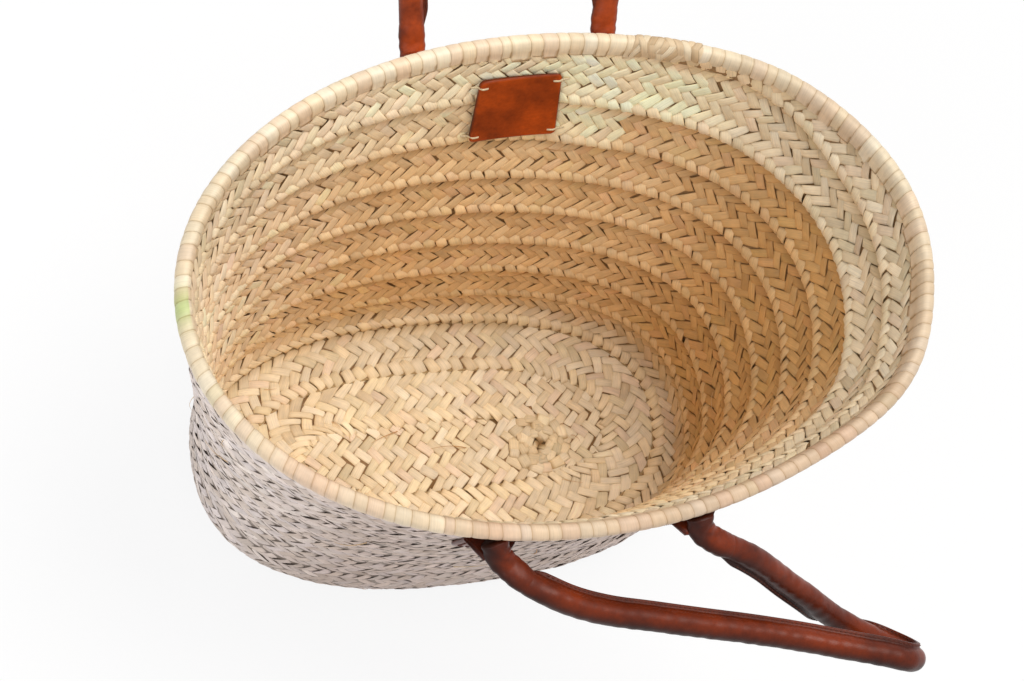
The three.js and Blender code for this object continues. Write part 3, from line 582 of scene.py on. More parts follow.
def weave_strip(parts, first, side):
    """All floats of one turn of the strip, on its inner (-1) or outer (1) face."""
    start, end = np.interp([first, first + 1], TURN_GRID, LENGTH_GRID)
    on_base = first < -1
    for row in range(ROWS):
        slant, shift = (-1, 0.5 * ROW) if row % 2 else (1, 0.0)
        index = np.arange(np.ceil((start - shift) / ROW), np.ceil((end - shift) / ROW))
        length = index * ROW + shift
        turns = turns_at(length)
        height = high_seam(turns) - low_seam(turns)
        middle = (row + 0.5) * ROW_HEIGHT
        under_rim = total_run(SPLICE_ANGLE + 2 * np.pi * turns) + (6.0 if row >= UPPER_ROWS else -1.0)
        above = 7.0 if first == LAST_TURN else 1.0
        length = length[(middle < height + above) & (low_seam(turns) + middle < under_rim)]
        if not len(length):
            continue
        steep = row == 0 and side < 0 and not on_base
        lean = EDGE_ROW_ANGLE if steep else LEAF_ANGLE
        puff = OUTER_PUFF if side > 0 else EDGE_ROW_PUFF if steep else 1.0
        spare = OUTER_SPARE if side > 0 else FLOAT_SPARE
        floats = float_shapes(len(length), slant * (-side), lean, ROW_HEIGHT, puff, spare)
        along, across, lift, strand, shade = floats
        if on_base and side < 0:
            # On the base the strands fold flat over both edges of the plait
            folded = ((row == 0) & (across < -FOLD_EDGE)) | ((row == 3) & (across > FOLD_EDGE))
            least = FOLD_LEAST + FOLD_SCATTER * each(rng.normal(0, 1, len(length)))
            lift = np.where(folded, np.maximum(lift, least), lift)
        place = middle + across
        turns = turns_at(each(length) + along)
        band = high_seam(turns) - low_seam(turns)
        angle = SPLICE_ANGLE + 2 * np.pi * turns
        run = np.minimum(low_seam(turns) + place, total_run(angle) + (1.0 if row >= UPPER_ROWS else 3.0))
        roll = inner_roll(place, band) if side < 0 else outer_roll(place, band)
        # The tail of the plait runs flat into the rim
        roll = roll * (1 - 0.6 * smoothstep(turns, WALL_TURNS + 0.88, WALL_TURNS + 1.0))
        if side < 0 and first >= LABEL_TURN:
            roll = roll * (1 - LABEL_PRESS * label_cover(surface(angle, run)))
            roll = roll * (1 + 0.45 * smoothstep(np.cos(angle), 0.1, 0.6) * (first == LAST_TURN))
        if side < 0:
            roll = roll * flatness(run)
        points = offset(angle, run, side * (PLAIT_THICKNESS / 2 + lift + roll))
        points[..., 2] = np.maximum(points[..., 2], 0.05)
        key = np.round((length - slant * middle) / ROW) * 2 + (slant > 0)
        if side > 0:
            colour = pick_tints(key + OUTER_KEYS, OUTER_LEAVES)
        else:
            colour = inner_colour(key, row, first, turns, angle, run)
        colour = colour * rng.normal(1.0, 0.035, len(colour))[:, None]
        if side > 0:
            # Shadow between the strands of the outer face
            shade[:, :, -1:] *= 0.85
            shade[:, [0, -1], :] *= 0.97
            # Painted shade on the outer face, and painted light at its left end
            end_light = smoothstep(-np.cos(angle.mean((1, 2))), 0.5, 0.95)[:, None]
            colour = colour * (OUTER_GREY_AND_SHADE * (1 - end_light) + OUTER_END_LIGHT * end_light)
        elif not on_base:
            # Shade in the crease under the edge of the next turn
            shade = shade * (1 - 0.34 * smoothstep(place, band - 11.0, band - 1.0))
        strand = strand + np.stack([0 * length, 0 * length, key * 0.37], -1)[:, None, None, :]
        parts.add_leaves(points, colour, shade[..., None] ** (WARM_SHADE if side < 0 else 1.0), strand)


def backing_band(parts, first):
    """Thin closed band inside the strip, which shows as shadow between the strands."""
    turns = np.linspace(first, first + 1, 181)
    low, high = low_seam(turns), high_seam(turns)
    angle = SPLICE_ANGLE + 2 * np.pi * turns
    levels = np.linspace(0, 1, 9)
    outer = OUTER_BACKING_DEPTH + 0 * turns
    rows = [offset(angle, low + (high - low) * share, outer) for share in levels]
    for share in levels[::-1]:
        place = (high - low) * share
        lap = 0.85 * inner_roll(place, high - low) * flatness(low + place)
        lap = lap * (1 - LABEL_PRESS * label_cover(surface(angle, low + place)) * (first >= LABEL_TURN))
        rows.append(offset(angle, low + place, -(BACKING_DEPTH + lap)))
    verts = np.stack(rows, 1)
    tints = np.tile(BACKING_SHADOW_TINT, (*verts.shape[:2], 1))
    tints[:, :len(levels)] = OUTER_BACKING_SHADOW_TINT
    parts.add(verts, tube_faces(*verts.shape[:2]), tints, verts)


def add_turn(node, first):
    parts = Parts()
    weave_strip(parts, first, -1)
    weave_strip(parts, first, 1)
    backing_band(parts, first)
    parts.piece(node.replace("plait", "weave"), palm, "basket", [node], "palm_plait")


add_turn("base_plait_turn", -2)
add_turn("corner_plait_turn", -1)
for turn in range(WALL_TURNS):
    add_turn(f"wall_plait_turn_{turn + 1}", turn)
add_turn("rim_plait_turn", WALL_TURNS)


# Middle of the base: the first straight stretch of the plait, woven flat
SWIRL, SWIRL_REACH = (73.0, -10.0), 20.0
# Rings of leaves where the plait begins: radius, leaves, lean in degrees, scale, tilt
SWIRL_RINGS = [(3.2, 3, 30, 0.6, 0.3), (8.0, 6, 12, 0.98, 0.17), (14.0, 10, -14, 1.08, 0.15),
               (20.4, 14, 16, 1.14, 0.13), (11.0, 4, 35, 0.78, 0.25), (17.0, 4, -30, 0.78, 0.23)]
# Rings that tilt more than this are of loose leaves
LOOSE_TILT = 0.2
SWIRL_LEAF_HEIGHT, SWIRL_LEAF_PUFF = 6.4, 1.1


def inside(outline, x, y):
    """Whether points lie inside the outline or close to it."""
    hit = np.zeros(len(x), dtype=bool)
    for (x0, y0), (x1, y1) in zip(outline, np.roll(outline, -1, axis=0)):
        cross = (y0 > y) != (y1 > y)
        with np.errstate(divide="ignore", invalid="ignore"):
            hit ^= cross & (x < (x1 - x0) * (y - y0) / (y1 - y0) + x0)
    near = np.min(np.hypot(x[:, None] - outline[None, :, 0], y[:, None] - outline[None, :, 1]), 1)
    return hit | (near < 2.5)


def base_leaves(parts, outline, side, row):
    """One row of flat leaves of the base, on its inner (-1) or lower (1) face."""
    slant = 1 if row % 2 else -1
    x = np.arange(-15, 16) * ROW + (0.5 * ROW if row % 2 else 0)
    y = np.full(len(x), row * ROW - 3.0)
    keep = inside(outline, x, y)
    if side < 0:
        keep &= np.hypot(x - SWIRL[0], y - SWIRL[1]) > SWIRL_REACH
    x, y = x[keep], y[keep]
    if not len(x):
        return
    along, across, lift, strand, shade = float_shapes(len(x), slant * (-side))
    z = np.maximum(PLAIT_THICKNESS / 2 - side * (PLAIT_THICKNESS / 2 - 0.4 + lift), 0.02)
    key = np.round((x - slant * y) / ROW) * 2 + (slant > 0) + CENTRE_KEYS
    colour = pick_tints(key, BASE_LEAVES if side < 0 else OUTER_LEAVES)
    colour = colour * rng.normal(1.0, 0.04, len(x))[:, None]
    points = np.stack([each(x) + along, each(y) + across, z], -1)
    parts.add_leaves(points, colour, shade[..., None] ** WARM_SHADE, strand)


def swirl_ring(parts, radius, count, lean, scale, tilt):
    """Where the plait begins, its strands lie round a point like the turns of a rosette."""
    turn = (np.arange(count) + rng.uniform(-0.25, 0.25, count)) * 2 * math.pi / count + radius
    leaves = float_shapes(count, 1, LEAF_ANGLE, SWIRL_LEAF_HEIGHT, SWIRL_LEAF_PUFF)
    along, across, lift, strand, shade = leaves
    lean = each(np.radians(lean + rng.normal(0, 7, count))) - math.pi / 4
    length = (along * np.cos(lean) - across * np.sin(lean)) * scale
    side_way = (along * np.sin(lean) + across * np.cos(lean)) * scale
    p = strand[..., 0] * scale
    # Loose leaves are cut to a point
    side_way = side_way * (1 - 0.3 * (tilt > LOOSE_TILT) * smoothstep(p, 0, 5))
    lift = lift * (0.6 + 0.4 * scale) + tilt * (p + 2.5) - 0.06 * side_way
    out = radius + side_way
    c, t = each(np.cos(turn)), each(np.sin(turn))
    z = np.maximum(PLAIT_THICKNESS + lift + 0.5, PLAIT_THICKNESS - 1.6)
    points = np.stack([SWIRL[0] + out * c - length * t, SWIRL[1] + out * t + length * c, z], -1)
    colour = pick_tints(np.arange(count) * 5 + count, BASE_LEAVES)
    colour = colour * rng.normal(0.97, 0.08, (count, 1)) * np.array([1.0, 0.98, 0.93])
    shade = shade * (0.4 + 0.6 * smoothstep(out, 1.5, 5.5)) * (0.55 + 0.45 * smoothstep(p, -6.0, -2.5))
    parts.add_leaves(points, colour, shade[..., None] ** (1.5 * WARM_SHADE), strand)


def add_base_centre():
    turns = np.linspace(-2, -1, 181)
    outline = offset(SPLICE_ANGLE + 2 * np.pi * turns, low_seam(turns), 0 * turns)[:, :2]
    parts = Parts()
    for side in (-1, 1):
        for row in range(-6, 8):
            base_leaves(parts, outline, side, row)
    for ring in SWIRL_RINGS:
        swirl_ring(parts, *ring)
    # Plate inside the weave, dark, which shows as painted shadow between the leaves
    n = len(outline) - 1
    levels = (PLAIT_THICKNESS / 2 + BACKING_DEPTH, PLAIT_THICKNESS / 2 - BACKING_DEPTH)
    plate = [np.column_stack([outline[:-1], np.full(n, level)]) for level in levels]
    faces = [[k, (k + 1) % n, n + (k + 1) % n, n + k] for k in range(n)]
    faces += [list(range(n)), list(range(2 * n - 1, n - 1, -1))]
    parts.add(plate, faces, np.tile(BACKING_SHADOW_TINT, (2 * n, 1)), np.zeros((2 * n, 3)))
    parts.piece("base_weave_centre", palm, "basket", ["base_plait_centre"], "palm_plait")


add_base_centre()


# Loose fibres
FIBRES, FIBRE_STEPS, FIBRE_SIDES = 64, 9, 5
FIBRE_COLOURS = [(226, 190, 142), (198, 150, 96), (236, 210, 166)]


def add_fibres():
    """Loose thin fibres that stand off the weave here and there."""
    spin = np.random.default_rng(21)
    parts = Parts()
    around = np.arange(FIBRE_SIDES) * 2 * math.pi / FIBRE_SIDES
    for k in range(FIBRES):
        side = 1 if k % 4 == 3 else -1
        angle = spin.uniform(0, 2 * math.pi)
        top = 0.9 * float(total_run(np.array(angle)))
        run = spin.uniform(-90, top)
        if side > 0:
            run = spin.uniform(20, top)
        length, turn, bend = spin.uniform(7, 24), spin.uniform(0, 2 * math.pi), spin.normal(0, 0.7)
        t = np.linspace(0, 1, FIBRE_STEPS)
        heading = turn + bend * t
        ahead = np.cumsum(np.cos(heading)) * length / FIBRE_STEPS
        rise = np.cumsum(np.sin(heading)) * length / FIBRE_STEPS
        reach = 140.0 if run > -20 else 90.0
        bow = 4.0 * np.sin(t * math.pi * spin.uniform(0.5, 0.9)) * spin.uniform(0.2, 1)
        off = PLAIT_THICKNESS / 2 + 1.0 + bow
        middle = offset(angle + ahead / reach, run + rise, side * off)
        tangent = unit(np.gradient(middle, axis=0))
        u = unit(np.cross(tangent, np.array([0.3, 0.4, 0.87])))
        v = np.cross(tangent, u)
        size = (0.34 * (1 - 0.7 * t) * spin.uniform(0.6, 1.2))[:, None]
        ring = [middle + size * (u * math.cos(a) + v * math.sin(a)) for a in around]
        verts = np.maximum(np.stack(ring, 1), [-1000, -1000, 0.3])
        colour = linear(*spin.choice(FIBRE_COLOURS))
        parts.add(verts, tube_faces(FIBRE_STEPS, FIBRE_SIDES), colour, verts * 0.2)
    parts.piece("stray_fibres", palm, "basket", slot="palm_plait")


add_fibres()


# Rim binding
WRAPS = 136
SPLICE_START, SPLICE_END = math.radians(60.0), math.radians(70.0)
RIM_GRID = np.linspace(SPLICE_END, SPLICE_END + 2 * np.pi, 2881)
RIM_LENGTH = path_length(mouth_point(RIM_GRID))
# Outer half of the bound rim's outline, down from the wall and over the top: outward, upward
RIM_HALF = [(3.6, -8.8), (4.2, -9.8), (4.8, -8.8), (5.3, -6.1), (5.9, -3.0),
            (6.2, 0.3), (5.9, 3.3), (4.8, 5.7), (2.9, 7.1), (0.0, 7.6)]
# How thick the outer leg is drawn, and how far the inner leg stands in, at least, and hangs down
OUTER_LEG, INNER_LEG, INNER_LEAST, INNER_DROP = 0.96, 0.78, 3.7, 0.76
# One wrap along the rim: places as shares of the pitch, and how far it stands off the core there
WRAP_STEPS = (0.0, 0.05, 0.22, 0.42, 0.62, 0.82, 0.95)
WRAP_PUFF = (-0.36, -0.06, 0.08, 0.15, 0.16, 0.1, -0.04)
# The inner ends of the wraps are ragged: outward, upward, on the last points of the outline
RAGGED_END = [(0.0, -0.5), (-0.12, -1.0), (0.0, -0.7)]
RIM_PALETTE = [(240, 217, 180), (237, 211, 172), (235, 207, 172),
               (232, 202, 166), (243, 223, 190), (231, 210, 170)]
RIM_WEIGHTS = np.array([36, 28, 12, 6, 14, 4]) / 100
RIM_SHADE = np.array([0.92, 0.96, 1.02])
# Lighter, darker or pinker stretches of the rim: middle and spread in degrees, change of each colour. The
# lighter stretch at the back is painted light and the darker one at the front right painted shade; the
# pinker ones are the wraps' own colour
RIM_TINTS_AND_LIGHT = [(100, 38, (0.24, 0.24, 0.24)), (300, 50, (-0.19, -0.3, -0.34)),
                 (221, 8, (-0.03, -0.15, -0.16)), (252, 5, (-0.024, -0.12, -0.128))]
# One stretch is stained green on its outer side
GREEN_STAIN = (178, 4, (-0.34, -0.14, -0.5))


def rim_place(length, out, up):
    angle = np.interp(length, RIM_LENGTH, RIM_GRID)
    extra = length - np.clip(length, 0, RIM_LENGTH[-1])
    point, along, rise, outward = surface_frame(angle, total_run(angle))
    return (point + along * extra[..., None] + outward * np.asarray(out)[..., None]
            + rise * np.asarray(up)[..., None])


def rim_section():
    """Outline of the bound rim: down the outer leg, over the round top and down the inner leg."""
    outer = [(x * OUTER_LEG, y) for x, y in RIM_HALF]
    # The inner leg is shorter and stands closer to the wall
    inner = [(-max(x * INNER_LEG, min(x, INNER_LEAST)), y if y > 0 else y * INNER_DROP)
             for x, y in RIM_HALF[-2::-1]]
    return np.array(outer + inner)


def rim_normals(section):
    step = np.gradient(section, axis=0)
    return unit(np.stack([-step[:, 1], step[:, 0]], -1)) * -1


def stretch_change(angle, middle, spread, change):
    return np.exp(-(((angle - middle) / spread) ** 2)) * np.array(change)


def add_binding():
    section = rim_section()
    normal = rim_normals(section)
    cols = len(section)
    path = path_length(section)
    path -= path[-1] / 2
    start, end = 0.5, np.interp(SPLICE_START + 2 * np.pi, RIM_GRID, RIM_LENGTH) - 0.5
    pitch = (end - start) / WRAPS
    ragged = np.zeros((cols, 2))
    ragged[-3:] = RAGGED_END
    outer_side = (np.arange(cols) < 11)[:, None]
    spin = np.random.default_rng(3)
    wide = spin.normal(0, 0.1, WRAPS + 1) * pitch
    wide[[0, -1]] = 0
    rings, tints, strands = [], [], []
    for wrap in range(WRAPS):
        colour = np.array(linear(*RIM_PALETTE[spin.choice(6, p=RIM_WEIGHTS)])) * spin.normal(1, 0.03)
        lean = 2.6 + spin.normal(0, 0.5)
        swell = spin.normal(1.0, 0.25)
        reach = np.clip(spin.normal(1.2, 1.7), -0.6, 4.4)
        begin, finish = start + wrap * pitch + wide[wrap], start + (wrap + 1) * pitch + wide[wrap + 1]
        for step, puff in zip(WRAP_STEPS, WRAP_PUFF):
            fade = min(1.0, (wrap + step) / 3, (WRAPS - wrap - step) / 3)
            at = begin + (finish - begin) * step - fade * lean * path / path[-1] * 1.2
            spots = section + normal * puff * (swell if puff > 0 else 1) + ragged * reach
            shade = (0.6 if step == 0 else 0.94 if step in (0.05, 0.95) else 1.0) * np.ones((cols, 1))
            if step in (0, 0.05):
                shade[-5:] *= 0.6
            angle = np.degrees(np.interp(at.mean(), RIM_LENGTH, RIM_GRID)) % 360
            # Painted light and shade and pinker wraps along the rim
            change = 1 + sum(stretch_change(angle, *stretch) for stretch in RIM_TINTS_AND_LIGHT)
            change = change * (1 + stretch_change(angle, *GREEN_STAIN) * outer_side)
            tints.append(colour * shade ** WARM_SHADE * RIM_SHADE * change)
            rings.append(rim_place(at, spots[:, 0], spots[:, 1]))
            strands.append(np.stack([np.full(cols, step * pitch), path, np.full(cols, wrap * 3.1)], -1))
    parts = Parts()
    parts.add(rings, tube_faces(len(rings), cols), np.clip(tints, 0, 1), np.array(strands))
    parts.piece("rim_wraps", binding_palm, "basket", ["rim_binding"], "palm_binding")


add_binding()


# Unbound stretch of the rim: strands that lie over the core each way, their lean, and points across one
SPLICE_STRANDS, SPLICE_LEAN, SPLICE_POINTS = 9, 15.0, 6
SPLICE_STRAND_WIDTH, SPLICE_OVERLAP = 6.4, 3.0
SPLICE_PALETTE = [(230, 204, 166), (216, 188, 150), (234, 214, 180), (204, 174, 134)]
# The core under them: how thick and how high it is against the bound rim
SPLICE_CORE, SPLICE_CORE_COLOUR = (0.86, 0.9), (186, 152, 112)


def add_splice():
    """Unbound stretch of the rim: twisted strands folded over the core."""
    start = np.interp(SPLICE_START + 2 * np.pi, RIM_GRID, RIM_LENGTH) - SPLICE_OVERLAP
    end = RIM_LENGTH[-1] + SPLICE_OVERLAP
    section = rim_section()[2:-2]
    normal = rim_normals(rim_section())[2:-2]
    cols = len(section)
    places = np.linspace(start, end, 40)
    x, y = section.T * np.array(SPLICE_CORE)[:, None]
    cover = np.array([rim_place(np.full(cols, at), x, y) for at in places])
    parts = Parts()
    parts.add(cover, tube_faces(len(places), cols), linear(*SPLICE_CORE_COLOUR), cover * 0.3)
    path = path_length(section)
    share = path / path[-1]
    across = np.linspace(-0.5, 0.5, SPLICE_POINTS)
    for layer in range(2):
        for k in range(SPLICE_STRANDS):
            lean = SPLICE_LEAN if layer else -SPLICE_LEAN
            mid = start + (end - start) * (k + 0.5 + 0.25 * layer) / (SPLICE_STRANDS + 0.4)
            grid = []
            for q in across:
                crown = 0.35 * (1 - (2 * q) ** 2) - (0.7 if abs(q) > 0.49 else 0)
                lift = 0.35 + crown + 0.5 * np.sin(share * np.pi * 3 + layer * np.pi + k)
                at = np.clip(mid + q * SPLICE_STRAND_WIDTH + lean * (share - 0.5), start, end)
                spots = section + normal * lift[:, None]
                grid.append(rim_place(at, spots[:, 0], spots[:, 1]))
            # Painted shade along both sides of each strand
            edge = np.ones((SPLICE_POINTS, cols, 1))
            edge[[0, -1]] = 0.6
            place = np.zeros((SPLICE_POINTS, cols, 3))
            place[..., 0] = path
            place[..., 1] = (across * SPLICE_STRAND_WIDTH)[:, None]
            place[..., 2] = k * 2.3 + layer
            colour = np.array(linear(*SPLICE_PALETTE[(k * 3 + layer) % 4])) * edge
            parts.add(grid, grid_faces(SPLICE_POINTS, cols).tolist(), colour, place)
    parts.piece("rim_splice_strands", palm, "basket", ["rim_splice"], "palm_plait")


add_splice()


# Places on the wall and the fold lines of the handles
def angle_at_x(x, side, place, steps):
    """Angle, in front (-1) or at the back (1), at which a line round the basket passes x."""
    low, high = 0.0 * x, 0.0 * x + math.pi
    for _ in range(steps):
        middle = (low + high) / 2
        more = place(side * middle)[..., 0] > x
        low, high = np.where(more, middle, low), np.where(more, high, middle)
    return side * low


def wall_spot(x, side, below, out):
    """Points at a place along the basket, a depth below the rim and out of the wall's middle."""
    x, below, out = (np.asarray(v, dtype=float) for v in np.broadcast_arrays(x, below, out))
    run = total_run(angle_at_x(x, side, mouth_point, 40)) - below
    return offset(angle_at_x(x, side, lambda angle: surface(angle, run), 36), run, out)


def fold_point(x, side):
    angle = angle_at_x(np.array(x), side, mouth_point, 40)
    point, _, up, out = surface_frame(angle, total_run(angle))
    return point + out * HINGE_OUT - up * HINGE_DROP


def fold_line(side):
    shift = BACK_SHIFT if side > 0 else 0.0
    first, second = (fold_point(shift + x, side) for x in (-HANDLE_SPACING / 2, HANDLE_SPACING / 2))
    middle = (first + second) / 2
    axis = unit(second - first)
    up = unit(np.array([0, 0, 1.0]) - axis * axis[2])
    outward = -side * np.cross(axis, up)
    return {"middle": middle, "axis": axis, "up": up, "outward": outward, "shift": shift,
            "left": middle - axis * HANDLE_SPACING / 2, "right": middle + axis * HANDLE_SPACING / 2}


# Handle routes, in the fold line's frame: along it, outward, upward
FRONT_ROUTE = [
    (-62, 4, -1), (-56, 10, -4), (-47, 18, -8), (-35, 25, -13), (-18, 33, -19), (5, 40, -26), (36, 46, -34),
    (71, 53, -42), (107, 60, -50), (142, 68, -57), (178, 78, -62), (203, 85, -65), (217, 89, -69),
    (227, 88, -79), (230, 84, -90), (228, 78, -99), (219, 70, -104), (200, 59.5, -98), (179, 49, -86),
    (159, 39, -68), (138, 29, -50), (119, 20, -32), (101, 13.5, -17), (87, 9, -8), (77, 5.5, -3),
]
BACK_LEAN, BACK_STRAIGHT, BACK_CROWN, BACK_SPREAD = math.radians(44.0), 140.0, 85.0, 16.0
FRONT_FIN_TURN = (0.62, 0.8)
NECK_GAP, NECK_END, ROUND_START, NECK_FOLD_END = 2.8, -2.0, 27.0, 30.0
NECK_HALF_WIDTH, NECK_HALF_THICKNESS, PRESSED_SHARE = 7.6, 2.6, 0.3
# The sleeve over the fold, which is seen, runs on to here along the handle
SLEEVE_HALF_WIDTH, SLEEVE_HALF_THICKNESS, SLEEVE_END = 9.0, 5.8, 26.0
FIN_HEIGHT, FIN_HALF = 3.4, 1.25
# Points round the rolled leather, and how far it stays open at the fin, in radians
COVER_POINTS, COVER_GAP, FIN_POINTS = 30, 0.2, 6
SLEEVE_POINTS, SLEEVE_STEP = 36, 0.8
# Places along the handle that lead the sleeve, and how close it bends round the fold
SLEEVE_KNOTS, FOLD_SHARE = (7.0, 14.0, 20.0, SLEEVE_END), 0.55
# Painted light and shade of the front (-1) and the back (1) handle, and the lit side of each that stays
# lighter
HANDLE_LIGHT_AND_SHADE = {-1: np.array([0.55, 0.52, 0.5]), 1: np.array([1.4, 1.45, 1.3])}
LIT_SIDE = {-1: np.array([0, 0.5, 0.87]), 1: np.array([0, -0.4, 0.92])}
# Stitches: points round one, half length, thickness, pitch and distance from the handle or the tab's edge
STITCH_TURN = np.linspace(0, 2 * math.pi, 6, endpoint=False)
SEAM_HALF, SEAM_SIZE, SEAM_PITCH, SEAM_OUT = 1.25, 0.3, 3.6, 1.7
TAB_STITCH_HALF, TAB_STITCH_SIZE, TAB_STITCH_PITCH, TAB_STITCH_INSET = 1.4, 0.42, 4.0, 4.0


def front_route(fold):
    def place(p):
        return fold["middle"] + fold["axis"] * p[0] + fold["outward"] * p[1] + fold["up"] * p[2]

    def stop(fold_end, next_point):
        way = unit(next_point - fold_end)
        return fold_end + way * NECK_GAP / math.sqrt(1 - way.dot(fold["axis"]) ** 2)

    points = [place(p) for p in FRONT_ROUTE]
    return np.array([stop(fold["left"], points[0])] + points + [stop(fold["right"], points[-1])])


def back_route(fold):
    rise = fold["up"] * math.cos(BACK_LEAN) + fold["outward"] * math.sin(BACK_LEAN)
    half = HANDLE_SPACING / 2
    half_crown = half + BACK_SPREAD / 2

    def place(x, height):
        return fold["middle"] + fold["axis"] * x + rise * height

    points = [place(-half, max(NECK_GAP, BACK_STRAIGHT * i / 4)) for i in range(4)]
    for i in range(9):
        turn = math.pi * (1 - i / 8)
        height = BACK_STRAIGHT + BACK_CROWN * math.sin(turn)
        points.append(place(BACK_SPREAD / 2 + half_crown * math.cos(turn), height))
    for i in (3, 2, 1, 0):
        points.append(place(half + BACK_SPREAD * i / 4, max(NECK_GAP, BACK_STRAIGHT * i / 4)))
    return np.array(points)


def smooth_route(points, step=2.0):
    """Even points on a centripetal curve through the route, and the running length at each."""
    def between(t, low, high, a, b):
        return (high - t) / (high - low) * a + (t - low) / (high - low) * b

    ends = np.concatenate([[2 * points[0] - points[1]], points, [2 * points[-1] - points[-2]]])
    out = []
    for k in range(1, len(ends) - 2):
        p = ends[k - 1:k + 3]
        knot = np.concatenate([[0], np.cumsum(np.linalg.norm(np.diff(p, axis=0), axis=-1) ** 0.5)])
        t = np.linspace(knot[1], knot[2], 24, endpoint=False)[:, None]
        a = [between(t, knot[i], knot[i + 1], p[i], p[i + 1]) for i in range(3)]
        b = [between(t, knot[i], knot[i + 2], a[i], a[i + 1]) for i in range(2)]
        out.append(between(t, knot[1], knot[2], b[0], b[1]))
    line = np.concatenate(out + [points[-1:]])
    length = path_length(line)
    even = np.linspace(0, length[-1], int(round(length[-1] / step)) + 1)
    return sample(even, length, line), even


def route_frames(line, axis, half_turn):
    """Directions along the route, across its flat side and out of it."""
    tangent = unit(np.gradient(line, axis=0))
    width = axis.copy()
    widths = []
    for t in tangent:
        width = unit(width - t * width.dot(t))
        widths.append(width)
    widths = np.array(widths)
    goal = unit(axis - tangent[-1] * axis.dot(tangent[-1]))
    twist = math.atan2(-np.cross(goal, widths[-1]).dot(tangent[-1]), goal.dot(widths[-1]))
    if abs(twist) > math.pi / 2:
        twist -= math.copysign(math.pi, twist)
    share = np.linspace(0, 1, len(line))
    turn = twist * share
    if half_turn:
        turn = turn + math.pi * smoothstep(share, *half_turn)
    turn = turn[:, None]
    widths = widths * np.cos(turn) + np.cross(tangent, widths) * np.sin(turn)
    # The flat necks stay parallel to the fold line, also where the route leaves it at a slant
    length = path_length(line)
    free = smoothstep(np.minimum(length, length[-1] - length), 0, NECK_FOLD_END)[:, None]
    widths = unit(axis * np.sign(widths @ axis)[:, None] * (1 - free) + widths * free)
    return tangent, widths, unit(np.cross(tangent, widths))


def leather_shade(outward, side):
    """Painted light and shade: the side facing the lit direction stays lighter than the side turned away
    from it.
    """
    return 1.22 - 0.95 * smoothstep(-(unit(outward) @ LIT_SIDE[side]), -0.8, 0.35)


def pressed(offsets, tangent, upward, distance):
    """Flattens the upper side of a neck, which comes to lie on the rim when the handle swings over it."""
    upper = unit(upward - tangent * (upward @ tangent))
    rise = np.maximum(offsets @ upper, 0)[:, None]
    share = PRESSED_SHARE * smoothstep(distance, 4.0, 14.0) * (1 - smoothstep(distance, 28.0, 44.0))
    return offsets - upper * rise * share


def cover_section(round_share, fin_share):
    """Outline of the rolled leather: a tube with a sewn fin, flat at the tabs."""
    turn = np.linspace(COVER_GAP, 2 * math.pi - COVER_GAP, COVER_POINTS)
    half_width = NECK_HALF_WIDTH + (HANDLE_RADIUS - NECK_HALF_WIDTH) * round_share
    half_depth = NECK_HALF_THICKNESS + (HANDLE_RADIUS - NECK_HALF_THICKNESS) * round_share
    x, y = half_width * np.cos(turn), half_depth * np.sin(turn)
    tip = half_width * math.cos(COVER_GAP) + FIN_HEIGHT * fin_share
    thick = min(FIN_HALF, abs(y[0]) + 0.01)
    root = x[0] + 0.35 * FIN_HEIGHT * fin_share
    half = [(root, thick), (tip - 0.4 * fin_share, thick), (tip, thick * 0.5)]
    fin = [(a, -b) for a, b in half] + half[::-1]
    return np.concatenate([np.stack([x, y], -1), np.array(fin)])


def add_cover(name, side, up, line, along, tangent, width, depth):
    """Rolled leather of one handle, slightly dented, with its fin."""
    ends = np.minimum(along, along[-1] - along)
    share = smoothstep(ends, NECK_END, ROUND_START)
    fin = smoothstep(ends, SLEEVE_END - 8.0, SLEEVE_END + 8.0)
    spin = np.random.default_rng(11 + side)
    waves = [(spin.uniform(0.02, 0.11), spin.uniform(0, 6.3), spin.uniform(-3, 3)) for _ in range(7)]
    rings, tints = [], []
    for i in range(len(line)):
        section = cover_section(share[i], fin[i])
        turn = np.arctan2(section[:, 1], section[:, 0])
        dent = sum(0.055 * np.sin(along[i] * f * 6.28 + a + turn * round(b)) for f, a, b in waves)
        body = section * (1 + 0.12 * dent[:, None] * share[i])
        body[-FIN_POINTS:] = section[-FIN_POINTS:]
        body = width[i] * body[:, :1] + depth[i] * body[:, 1:]
        rings.append(line[i] + pressed(body, tangent[i], up, ends[i]))
        shade = np.where(np.abs(turn) < 0.33, 0.6, 1.0)
        shade[-4:-1] = 0.66
        # Painted shade: the side turned away from the light is darker
        shade = shade * leather_shade(width[i] * section[:, :1] + depth[i] * section[:, 1:], side)
        tints.append(shade[:, None] * HANDLE_LIGHT_AND_SHADE[side])
    parts = Parts()
    parts.add(rings, tube_faces(len(rings), len(rings[0])), tints)
    cover = parts.piece(f"{name}_cover", leather, name, [f"{name}_leather"], "leather")
    bend = cover.modifiers.new("soften", "SUBSURF")
    bend.levels = 1
    bend.render_levels = 1


def stitch_size(size, t):
    """Half thickness of a stitch with round ends; t runs along it from -1 to 1."""
    return size * math.sqrt(max(1 - (abs(t) * 0.93) ** 4, 0.02))


